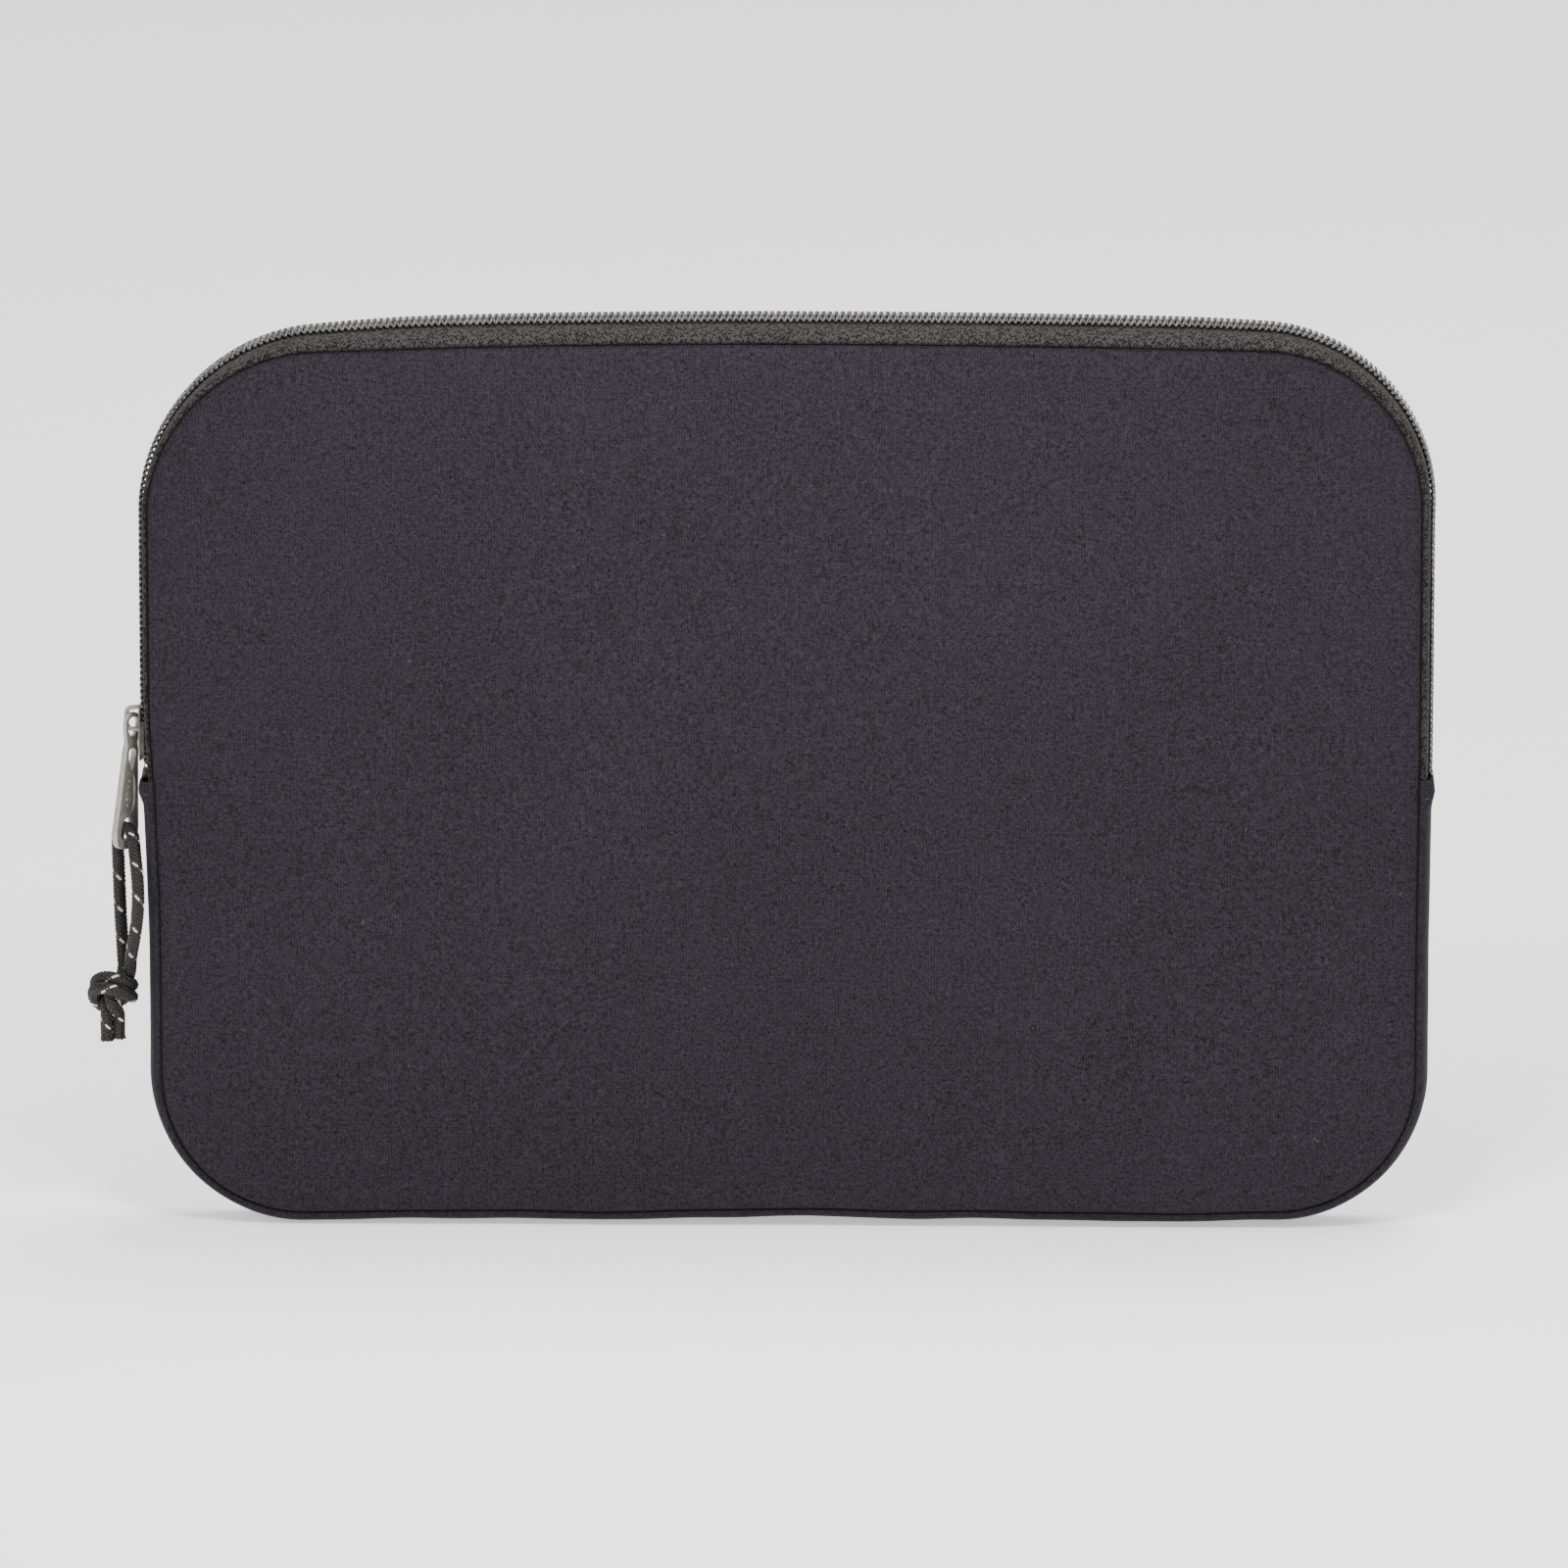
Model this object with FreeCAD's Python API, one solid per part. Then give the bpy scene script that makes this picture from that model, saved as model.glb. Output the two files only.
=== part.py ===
import FreeCAD, Part
import math
import os

from FreeCAD import Vector

# Padded laptop sleeve, standing on its lower edge. Millimetres.
# +X to the right of the front face, +Y from front to back, +Z up.
# The origin is the middle of the flat strip that the sleeve stands on.

# Outline of the two panels, which is also the line of the seams.
half_width = 169.0
panel_bottom = 2.5
panel_top = 245.9
top_radius = 47.0
bottom_radius = 40.0

# Panel layers, from the outside in.
half_depth = 11.5
face_thickness = 0.6
foam_thickness = 2.9
lining_thickness = 0.5
fold_height = 143.0

# Lower gusset: a laminated strip that bulges outwards between the two panels.
gusset_bulge = 2.6
gusset_face = 0.6
gusset_foam = 1.3
gusset_lining = 0.5
gusset_end = 113.5

# Folded ends of the gusset, which cover the ends of the zip.
tab_proud = 0.5
tab_top_left = 120.0
tab_top_right = 121.5
tab_thread_size = 0.5
tab_thread_rise = 1.4
tab_thread_half_length = 8.5

# Zip, measured outwards from the panel outline (r) and across the edge (y).
tape_thickness = 0.6
tape_outer_edge = 11.3
tape_inner_edge = 1.75
coil_outer_edge = 3.0
coil_gap = 0.15
coil_height = 1.3
coil_foot_left = 130.3
coil_foot_right = 122.0
coil_thread_inner = 1.8
coil_thread_outer = 2.2
coil_thread_height = 0.15

# Binding over the seam allowance, inside the pocket, and the thread through it.
binding_width = 3.0
binding_thickness = 1.0
seam_thread_near = 1.3
seam_thread_size = 0.4

# Stop at the left end of the zip.
stop_bottom = 120.8
stop_height = 2.4
stop_half_width = 1.9
stop_thickness = 1.6
stop_rounding = 0.5

# Slider: two plates round the coil, joined by a wedge at the lower end.
slider_bottom = 125.5
slider_length = 15.0
slider_half_width = 4.4
slider_tail_half_width = 3.2
slider_mouth_half_width = 2.8
slider_plate = 0.8
slider_outer_plate = 0.6
channel_floor = -0.5
channel_roof = 2.1
flange_width = 0.8
flange_foot = 1.05
wedge_half_width = 1.4
wedge_length = 4.5
plate_rounding = 0.9

# Bail: the bridge on the slider that the puller hangs from.
bail_bottom = 133.0
bail_top = 140.2
bail_half_width = 0.6
bail_leg = 1.2
bail_outer = 7.75
bail_inner = 7.05
bail_rounding = 1.5

# Puller: a flat cast pull, turned about its long axis and leaning outwards.
pivot_out = 5.5
pivot_height = 137.8
puller_twist = 38.0
puller_lean = 4.0
puller_half_thickness = 0.9
ring_half_thickness = 0.6
ring_end = 7.6
ring_top = -0.6
puller_end = 36.9
puller_panel_depth = 0.25

# Cord: looped round the bar at the puller's end and tied into an overhand knot.
cord_diameter = 3.0
knot_centre = Vector(-180.1, -0.6, 61.9)
knot_half_width = 6.7
knot_half_height = 5.6
cord_route = [
    (-178.0, 0.2, 65.0),
    (-178.5, 0.8, 73.6),
    (-179.2, 1.3, 83.6),
    (-179.3, 1.9, 93.2),
    (-179.5, 1.9, 100.2),
    (-179.1, 1.83, 106.0),
    (-174.4, -1.83, 105.7),
    (-174.3, -2.7, 99.9),
    (-173.4, -6.4, 92.0),
    (-173.2, -7.2, 82.9),
    (-174.1, -4.4, 74.2),
    (-175.9, -0.9, 66.4),
]
tail_routes = [
    [(-182.0, -0.9, 58.6), (-182.3, -1.1, 53.6), (-182.1, -1.3, 49.0)],
    [(-178.6, -0.5, 58.4), (-178.5, -0.3, 53.9), (-178.9, -0.2, 49.5)],
]

overshoot = 20.0
node_count = 0


def save(name, shapes):
    """Write one node, after checking that each of its solids is sound."""
    global node_count
    if not isinstance(shapes, list):
        shapes = [shapes]
    solids = []
    for shape in shapes:
        solids.extend(shape.Solids)
    for solid in solids:
        if not solid.isValid() or solid.Volume <= 0:
            raise ValueError(name + " is not a sound solid")
    result = solids[0] if len(solids) == 1 else Part.makeCompound(solids)
    result.exportStep("parts/" + name + ".step")
    node_count += 1
    print(name, len(solids), round(sum(s.Volume for s in solids), 1), "mm3")


def joined(pieces):
    """Fuse pieces that meet face to face into one clean solid."""
    return pieces[0].multiFuse(pieces[1:]).removeSplitter()


def slab(low, high):
    """An upright box between two corners."""
    size = [high[i] - low[i] for i in range(3)]
    return Part.makeBox(*size, Vector(*low))


# Panels

def panel_outline(inset, y):
    """The rounded outline of a panel, moved inwards by inset, at depth y."""
    x = half_width - inset
    top = panel_top - inset
    bottom = panel_bottom + inset
    wide = top_radius - inset
    tight = bottom_radius - inset
    diagonal = 1.0 - math.sqrt(0.5)

    def corner(sx, edge_z, radius, upward):
        side = Vector(sx * x, y, edge_z - upward * radius)
        middle = Vector(sx * (x - radius * diagonal), y, edge_z - upward * radius * diagonal)
        level = Vector(sx * (x - radius), y, edge_z)
        return side, middle, level

    left_top = corner(-1, top, wide, 1)
    right_top = corner(1, top, wide, 1)
    right_bottom = corner(1, bottom, tight, -1)
    left_bottom = corner(-1, bottom, tight, -1)
    edges = [
        Part.Arc(*left_top).toShape(),
        Part.LineSegment(left_top[2], right_top[2]).toShape(),
        Part.Arc(*reversed(right_top)).toShape(),
        Part.LineSegment(right_top[0], right_bottom[0]).toShape(),
        Part.Arc(*right_bottom).toShape(),
        Part.LineSegment(right_bottom[2], left_bottom[2]).toShape(),
        Part.Arc(*reversed(left_bottom)).toShape(),
        Part.LineSegment(left_bottom[0], left_top[0]).toShape(),
    ]
    return Part.Wire(edges)


def panel_layer(outer, thickness, inset=0.0):
    """A plate with the panel's outline, from depth outer inwards to y = 0."""
    side = math.copysign(1.0, outer)
    face = Part.Face(panel_outline(inset, outer))
    return face.extrude(Vector(0, -side * thickness, 0))


def panel_ring(outer, thickness, near, far):
    """A flat ring that follows the panel's outline between two insets."""
    whole = panel_layer(outer, thickness, near)
    return whole.cut(panel_layer(outer, thickness, far))


def below_fold(shape):
    low = (-half_width - overshoot, -half_depth - overshoot, -overshoot)
    high = (half_width + overshoot, half_depth + overshoot, fold_height)
    return shape.common(slab(low, high))


def above_fold(shape):
    low = (-half_width - overshoot, -half_depth - overshoot, fold_height)
    high = (half_width + overshoot, half_depth + overshoot, panel_top + overshoot)
    return shape.common(slab(low, high))


def make_panels():
    layers = [("face", face_thickness), ("foam", foam_thickness), ("lining", lining_thickness)]
    depth = half_depth
    for name, thickness in layers:
        save("back_" + name, panel_layer(depth, thickness))
        front = panel_layer(-depth, thickness)
        save("front_" + name + "_lower", below_fold(front))
        save("front_" + name + "_upper", above_fold(front))
        depth -= thickness
    return depth


def make_bindings(depth):
    """Bound seam allowances inside the pocket, with the thread that closes the seam."""
    back = panel_ring(depth, binding_thickness, 0.0, binding_width)
    front = panel_ring(-depth, binding_thickness, 0.0, binding_width)
    save("binding_back", back)
    save("binding_front_lower", below_fold(front))
    save("binding_front_upper", above_fold(front))
    level = depth - binding_thickness
    far = seam_thread_near + seam_thread_size
    back = panel_ring(level, seam_thread_size, seam_thread_near, far)
    front = panel_ring(-level, seam_thread_size, seam_thread_near, far)
    save("seam_thread_back", back)
    save("seam_thread_front_lower", below_fold(front))
    save("seam_thread_front_upper", above_fold(front))


# Strips round the edge: a profile in (r, y) follows the panel's outline

def rectangle(r0, r1, y0, y1):
    return [("line", (r0, y0), (r1, y0)), ("line", (r1, y0), (r1, y1)),
            ("line", (r1, y1), (r0, y1)), ("line", (r0, y1), (r0, y0))]


def bulge(outer_radius, inner_radius, centre):
    """The space between two arcs round one centre, from the panel edge outwards."""
    outer_y = math.sqrt(outer_radius ** 2 - centre ** 2)
    inner_y = math.sqrt(inner_radius ** 2 - centre ** 2)
    return [("arc", (0, -outer_y), (outer_radius - centre, 0), (0, outer_y)),
            ("line", (0, outer_y), (0, inner_y)),
            ("arc", (0, inner_y), (inner_radius - centre, 0), (0, -inner_y)),
            ("line", (0, -inner_y), (0, -outer_y))]


def profile_face(profile, place):
    edges = []
    for kind, *points in profile:
        spots = [place(r, y) for r, y in points]
        if kind == "arc":
            edges.append(Part.Arc(*spots).toShape())
        else:
            edges.append(Part.LineSegment(*spots).toShape())
    return Part.Face(Part.Wire(edges))


def side_run(profile, side, z0, z1):
    """A straight run of a strip up the left (-1) or right (1) edge."""
    def place(r, y):
        return Vector(side * (half_width + r), y, z0)
    return profile_face(profile, place).extrude(Vector(0, 0, z1 - z0))


def edge_strip(profile, left_end, right_end, edge_z, radius):
    """A strip up or down one side, round two corners and back along the other side."""
    upward = 1 if edge_z > left_end else -1
    corner_x = half_width - radius
    corner_z = edge_z - upward * radius
    pieces = []
    for side, end in ((-1, left_end), (1, right_end)):
        pieces.append(side_run(profile, side, end, corner_z))

        def place(r, y, side=side):
            return Vector(side * (half_width + r), y, corner_z)
        axis = Vector(0, -side * upward, 0)
        centre = Vector(side * corner_x, 0, corner_z)
        pieces.append(profile_face(profile, place).revolve(centre, axis, 90))

    def place_level(r, y):
        return Vector(-corner_x, y, edge_z + upward * r)
    level = profile_face(profile, place_level).extrude(Vector(2 * corner_x, 0, 0))
    return joined([pieces[0], pieces[1], level, pieces[3], pieces[2]])


def make_gusset():
    outer = (half_depth ** 2 + gusset_bulge ** 2) / (2 * gusset_bulge)
    centre = outer - gusset_bulge
    ground = slab((-half_width, -half_depth, -overshoot), (half_width, half_depth, 0))
    radius = outer
    for name, thickness in (("face", gusset_face), ("foam", gusset_foam), ("lining", gusset_lining)):
        profile = bulge(radius, radius - thickness, centre)
        strip = edge_strip(profile, gusset_end, gusset_end, panel_bottom, bottom_radius)
        save("gusset_" + name, strip.cut(ground))
        radius -= thickness

    threads = []
    for side, name, top in ((-1, "left", tab_top_left), (1, "right", tab_top_right)):
        profile = bulge(outer + tab_proud, radius, centre)
        save("zip_end_tab_" + name, side_run(profile, side, gusset_end, top))
        skin = outer + tab_proud
        line = bulge(skin + tab_thread_size, skin, centre)
        run = side_run(line, side, gusset_end + tab_thread_rise,
                       gusset_end + tab_thread_rise + tab_thread_size)
        reach = half_width + overshoot
        keep = slab((-reach, -tab_thread_half_length, 0), (reach, tab_thread_half_length, panel_top))
        threads.append(run.common(keep))
    save("tab_threads", threads)


# Zip

def zip_strip(profile, left_end, right_end):
    return edge_strip(profile, left_end, right_end, panel_top, top_radius)


def make_zip():
    tape = rectangle(0.0, tape_thickness, tape_inner_edge, tape_outer_edge)
    crown = tape_thickness + coil_height
    coil = rectangle(tape_thickness, crown, coil_gap, coil_outer_edge)
    thread = rectangle(crown, crown + coil_thread_height, coil_thread_inner, coil_thread_outer)
    tape_ends = (tab_top_left, tab_top_right)
    coil_ends = (coil_foot_left, coil_foot_right)
    for name, profile, ends in (("zip_tape", tape, tape_ends), ("zip_coil", coil, coil_ends),
                                ("coil_thread", thread, coil_ends)):
        save(name + "_back", zip_strip(profile, *ends))
        front = [(kind, *[(r, -y) for r, y in points]) for kind, *points in profile]
        save(name + "_front", zip_strip(front, fold_height, fold_height))
        save(name + "_front_ends", [side_run(front, -1, ends[0], fold_height),
                                    side_run(front, 1, ends[1], fold_height)])
    low = (-half_width - tape_thickness - stop_thickness, -stop_half_width, stop_bottom)
    high = (-half_width - tape_thickness, stop_half_width, stop_bottom + stop_height)
    stop = slab(low, high)
    outer = [e for e in stop.Edges if abs(e.CenterOfMass.x - low[0]) < stop_rounding]
    save("zip_stop", stop.makeFillet(stop_rounding, outer))


# Slider

def plate_outline(x):
    """The slider's outline: broad above its mouth and narrower at its tail."""
    top = slider_bottom + slider_length
    shoulder = slider_bottom + slider_length * 0.2
    waist = slider_bottom + slider_length * 0.55
    points = [(slider_mouth_half_width, slider_bottom), (slider_half_width, shoulder),
              (slider_half_width, waist), (slider_tail_half_width, top)]
    ring = [Vector(x, y, z) for y, z in points]
    ring += [Vector(x, -y, z) for y, z in reversed(points)]
    return Part.makePolygon(ring + ring[:1])


def plate(r0, r1):
    """A slider plate between two distances out from the panel outline."""
    start = -half_width - r0
    solid = Part.Face(plate_outline(start)).extrude(Vector(-(r1 - r0), 0, 0))
    rims = [e for e in solid.Edges if abs(e.tangentAt(e.FirstParameter).x) > 0.9]
    return solid.makeFillet(plate_rounding, rims)


def make_slider():
    inner = plate(channel_floor - slider_plate, channel_floor)
    outer = plate(flange_foot, channel_roof + slider_outer_plate)
    top = slider_bottom + slider_length
    inside = slider_half_width - flange_width
    groove = slab((-half_width - channel_roof, -inside, slider_bottom - 1),
                  (-half_width, inside, top + 1))
    wedge = slab((-half_width - channel_roof - slider_outer_plate / 2, -wedge_half_width, slider_bottom),
                 (-half_width - channel_floor + slider_plate / 2, wedge_half_width,
                  slider_bottom + wedge_length))
    cap = outer.cut(groove)
    save("slider_body", joined([cap, wedge, inner]))

    base = channel_roof + slider_outer_plate
    bridge = slab((-half_width - bail_outer, -bail_half_width, bail_bottom),
                  (-half_width - base, bail_half_width, bail_top))
    corners = [e for e in bridge.Edges
               if abs(e.CenterOfMass.x + half_width + bail_outer) < 0.01
               and abs(e.tangentAt(e.FirstParameter).y) > 0.9]
    bridge = bridge.makeFillet(bail_rounding, corners)
    passage = slab((-half_width - bail_inner, -half_depth, bail_bottom + bail_leg),
                   (-half_width - base, half_depth, bail_top - bail_leg))
    save("slider_bail", bridge.cut(passage))


# Puller, built hanging down from its pivot, with x its thickness and y its width

def closed_curve(points, x):
    """A smooth closed outline through points given as (half width, distance down)."""
    right = [Vector(x, w, -d) for w, d in points]
    left = [Vector(x, -w, -d) for w, d in reversed(points) if w > 0]
    curve = Part.BSplineCurve()
    curve.interpolate(right + left, PeriodicFlag=True)
    return Part.Face(Part.Wire([curve.toShape()]))


def puller_plate(points, half_thickness):
    face = closed_curve(points, -half_thickness)
    return face.extrude(Vector(2 * half_thickness, 0, 0))


def make_puller():
    outline = [(0.0, ring_top), (2.0, 0.1), (3.0, 2.2), (2.8, 5.0), (2.15, ring_end),
               (2.5, 11.0), (3.05, 17.0), (3.6, 23.0), (4.2, 29.0), (4.4, 32.4),
               (3.3, 35.9), (0.0, puller_end)]
    ring_hole = [(0.0, 0.6), (1.5, 0.8), (2.15, 2.2), (1.8, 4.6), (0.0, 6.4)]
    drop_hole = [(0.0, 9.2), (1.1, 9.8), (1.2, 11.2), (0.7, 13.6), (0.0, 15.0)]
    cord_hole = [(0.0, 28.1), (1.6, 29.1), (2.4, 31.3), (1.9, 33.6), (0.0, 34.5)]
    sunk_panel = [(0.0, 16.3), (1.2, 17.3), (1.7, 20.0), (1.9, 23.5), (1.4, 26.2), (0.0, 27.1)]

    body = puller_plate(outline, puller_half_thickness)
    thinning = puller_half_thickness - ring_half_thickness
    for side in (-1, 1):
        low = side * ring_half_thickness
        high = side * (ring_half_thickness + 2 * thinning)
        trim = slab((min(low, high), -half_depth, -ring_end), (max(low, high), half_depth, overshoot))
        body = body.cut(trim)
    for points in (ring_hole, drop_hole, cord_hole):
        body = body.cut(puller_plate(points, 2 * puller_half_thickness))
    for side in (-1, 1):
        face = closed_curve(sunk_panel, side * puller_half_thickness)
        body = body.cut(face.extrude(Vector(-side * puller_panel_depth, 0, 0)))

    body.rotate(Vector(0, 0, 0), Vector(0, 0, 1), -puller_twist)
    body.rotate(Vector(0, 0, 0), Vector(0, 1, 0), puller_lean)
    body.translate(Vector(-half_width - pivot_out, 0, pivot_height))
    save("puller", body)


# Cord

def cord_tube(route):
    """A round tube along straight runs joined by tangent arcs, with its radii printed."""
    points = [Vector(*p) for p in route]
    edges = []
    radii = []
    here = points[0]
    for before, at, after in zip(points, points[1:], points[2:]):
        arriving = (at - before).normalize()
        leaving = (after - at).normalize()
        turn = arriving.getAngle(leaving)
        setback = 0.45 * min((at - before).Length, (after - at).Length)
        radius = setback / math.tan(turn / 2)
        start = at - arriving * setback
        end = at + leaving * setback
        inward = (leaving - arriving).normalize()
        middle = at + inward * (radius / math.cos(turn / 2) - radius)
        edges.append(Part.LineSegment(here, start).toShape())
        edges.append(Part.Arc(start, middle, end).toShape())
        radii.append(round(radius, 1))
        here = end
    edges.append(Part.LineSegment(here, points[-1]).toShape())
    path = Part.Wire(edges)
    ring = Part.makeCircle(cord_diameter / 2, points[0], points[1] - points[0])
    tube = path.makePipeShell([Part.Wire([ring])], True, False, 2)
    section = math.pi * cord_diameter ** 2 / 4
    print("radii", radii, "length", round(path.Length, 1),
          "volume over section times length", round(tube.Volume / (section * path.Length), 3))
    return tube


def make_cord():
    save("cord_loop", cord_tube(cord_route))
    save("cord_tails", [cord_tube(route) for route in tail_routes])
    left = knot_centre - Vector(knot_half_width, 0, 0)
    right = knot_centre + Vector(knot_half_width, 0, 0)
    shape = Part.Ellipse(knot_centre, knot_half_width, knot_half_height)
    shape.rotate(FreeCAD.Placement(knot_centre, FreeCAD.Rotation(Vector(1, 0, 0), 90), Vector(0, 0, 0)))
    half = Part.Arc(shape, 0, math.pi).toShape()
    face = Part.Face(Part.Wire([half, Part.LineSegment(left, right).toShape()]))
    save("cord_knot", face.revolve(knot_centre, Vector(1, 0, 0), 360))


os.makedirs("parts", exist_ok=True)
pocket_half_depth = make_panels()
make_bindings(pocket_half_depth)
make_gusset()
make_zip()
make_slider()
make_puller()
make_cord()
print(node_count, "nodes")
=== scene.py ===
import math

import bmesh
import bpy
from mathutils import Matrix, Vector
from mathutils.geometry import delaunay_2d_cdt


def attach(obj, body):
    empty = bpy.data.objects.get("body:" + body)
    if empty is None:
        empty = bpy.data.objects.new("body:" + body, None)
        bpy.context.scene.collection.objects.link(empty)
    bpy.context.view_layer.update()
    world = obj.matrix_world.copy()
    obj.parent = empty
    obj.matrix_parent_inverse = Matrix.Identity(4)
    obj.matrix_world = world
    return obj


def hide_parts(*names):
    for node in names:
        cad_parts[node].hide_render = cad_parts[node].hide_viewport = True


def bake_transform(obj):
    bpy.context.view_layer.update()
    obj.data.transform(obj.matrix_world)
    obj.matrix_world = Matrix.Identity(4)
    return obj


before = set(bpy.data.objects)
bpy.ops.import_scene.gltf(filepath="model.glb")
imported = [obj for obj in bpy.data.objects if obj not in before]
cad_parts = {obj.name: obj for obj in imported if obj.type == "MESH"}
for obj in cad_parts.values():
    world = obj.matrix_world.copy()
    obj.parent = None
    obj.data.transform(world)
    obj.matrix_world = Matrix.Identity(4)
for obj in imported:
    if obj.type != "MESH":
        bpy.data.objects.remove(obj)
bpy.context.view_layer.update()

mm = 0.001


# Small helpers

def linked(name, data):
    obj = bpy.data.objects.new(name, data)
    bpy.context.scene.collection.objects.link(obj)
    return obj


def newObject(name, mesh, material):
    obj = linked(name, mesh)
    obj.data.materials.append(material)
    return obj


def takeMesh(holder):
    # the plain mesh that an object comes to, with its curve or modifier worked out
    graph = bpy.context.evaluated_depsgraph_get()
    mesh = bpy.data.meshes.new_from_object(holder.evaluated_get(graph))
    bpy.data.objects.remove(holder)
    return mesh


def meshFrom(name, verts, faces, smooth=True):
    mesh = bpy.data.meshes.new(name)
    mesh.from_pydata([tuple(v) for v in verts], [], faces)
    mesh.update()
    for poly in mesh.polygons:
        poly.use_smooth = smooth
    return mesh


def faceOutward(mesh):
    bm = bmesh.new()
    bm.from_mesh(mesh)
    bmesh.ops.remove_doubles(bm, verts=bm.verts, dist=0.004 * mm)
    bmesh.ops.recalc_face_normals(bm, faces=bm.faces)
    bm.to_mesh(mesh)
    bm.free()
    mesh.update()


def smoothStep(low, high, value):
    t = min(1.0, max(0.0, (value - low) / (high - low)))
    return t * t * (3 - 2 * t)


def lerp(a, b, t):
    return a + (b - a) * t


def smoothPoint(p0, p1, p2, p3, t):
    # a point between p1 and p2, on a smooth line through all four
    return tuple(0.5 * (2 * p1[c] + (p2[c] - p0[c]) * t
                        + (2 * p0[c] - 5 * p1[c] + 4 * p2[c] - p3[c]) * t * t
                        + (3 * p1[c] - p0[c] - 3 * p2[c] + p3[c]) * t ** 3) for c in (0, 1))


# Shader maths: a wrapped socket takes + - * / and >, and adds its own Math nodes

class Sock:
    def __init__(self, kit, socket):
        self.kit = kit
        self.socket = socket

    def op(self, name, *others):
        return self.kit.add("ShaderNodeMath", {"operation": name}, [self, *others])

    def __add__(self, other):
        return self.op("ADD", other)

    def __radd__(self, other):
        return self.op("ADD", other)

    def __sub__(self, other):
        return self.op("SUBTRACT", other)

    def __rsub__(self, other):
        return self.kit.add("ShaderNodeMath", {"operation": "SUBTRACT"}, [other, self])

    def __mul__(self, other):
        return self.op("MULTIPLY", other)

    def __rmul__(self, other):
        return self.op("MULTIPLY", other)

    def __truediv__(self, other):
        return self.op("DIVIDE", other)

    def __gt__(self, other):
        return self.op("GREATER_THAN", other)

    def sine(self):
        return self.op("SINE")

    def cosine(self):
        return self.op("COSINE")

    def size(self):
        return self.op("ABSOLUTE")

    def wrap(self, period):
        return self.op("MODULO", period)

    def power(self, other):
        return self.op("POWER", other)

    def least(self, other):
        return self.op("MINIMUM", other)

    def most(self, other):
        return self.op("MAXIMUM", other)

    def out(self, name):
        return Sock(self.kit, self.socket.node.outputs[name])


class NodeKit:
    def __init__(self, tree):
        self.tree = tree
        tree.nodes.clear()

    def add(self, kind, settings=None, values=()):
        node = self.tree.nodes.new(kind)
        for key, value in (settings or {}).items():
            if key == "stops":
                self.setStops(node.color_ramp, value)
            else:
                setattr(node, key, value)
        pairs = values.items() if isinstance(values, dict) else enumerate(values)
        for key, value in pairs:
            self.feed(node.inputs[key], value)
        first = next((s for s in node.outputs if s.enabled), None)
        return Sock(self, first) if first else node

    def feed(self, socket, value):
        if isinstance(value, Sock):
            self.tree.links.new(value.socket, socket)
        else:
            socket.default_value = value

    def setStops(self, ramp, stops):
        while len(ramp.elements) < len(stops):
            ramp.elements.new(0.5)
        for element, (place, level) in zip(ramp.elements, stops):
            element.position = place
            element.color = (level, level, level, 1.0)

    def coords(self, kind="Object"):
        return self.add("ShaderNodeTexCoord").out(kind)

    def split(self, vector):
        x = self.add("ShaderNodeSeparateXYZ", {}, [vector])
        return x, x.out("Y"), x.out("Z")

    def noise(self, vector, scale, detail=2.0, rough=0.5):
        return self.add("ShaderNodeTexNoise", {}, {"Vector": vector, "Scale": scale,
                                                    "Detail": detail, "Roughness": rough})

    def mixColor(self, factor, a, b):
        node = self.tree.nodes.new("ShaderNodeMix")
        node.data_type = "RGBA"
        self.feed(node.inputs[0], factor)
        self.feed(node.inputs[6], a)
        self.feed(node.inputs[7], b)
        return Sock(self, node.outputs[2])

    def ramp(self, factor, stops):
        return self.add("ShaderNodeValToRGB", {"stops": stops}, [factor])

    def bump(self, height, distance, strength):
        return self.add("ShaderNodeBump", {}, {"Height": height, "Distance": distance, "Strength": strength})


def newMaterial(name, fixed, build):
    # fixed holds what is the same all over; build returns what changes over the surface
    material = bpy.data.materials.new(name)
    material.use_nodes = True
    kit = NodeKit(material.node_tree)
    shader = kit.tree.nodes.new("ShaderNodeBsdfPrincipled")
    for key, value in fixed.items():
        shader.inputs[key].default_value = value
    for key, value in build(kit).items():
        kit.feed(shader.inputs[key], value)
    out = kit.tree.nodes.new("ShaderNodeOutputMaterial")
    kit.tree.links.new(shader.outputs[0], out.inputs[0])
    return material


def rgb(r, g, b):
    return (r, g, b, 1.0)


# Materials

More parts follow.
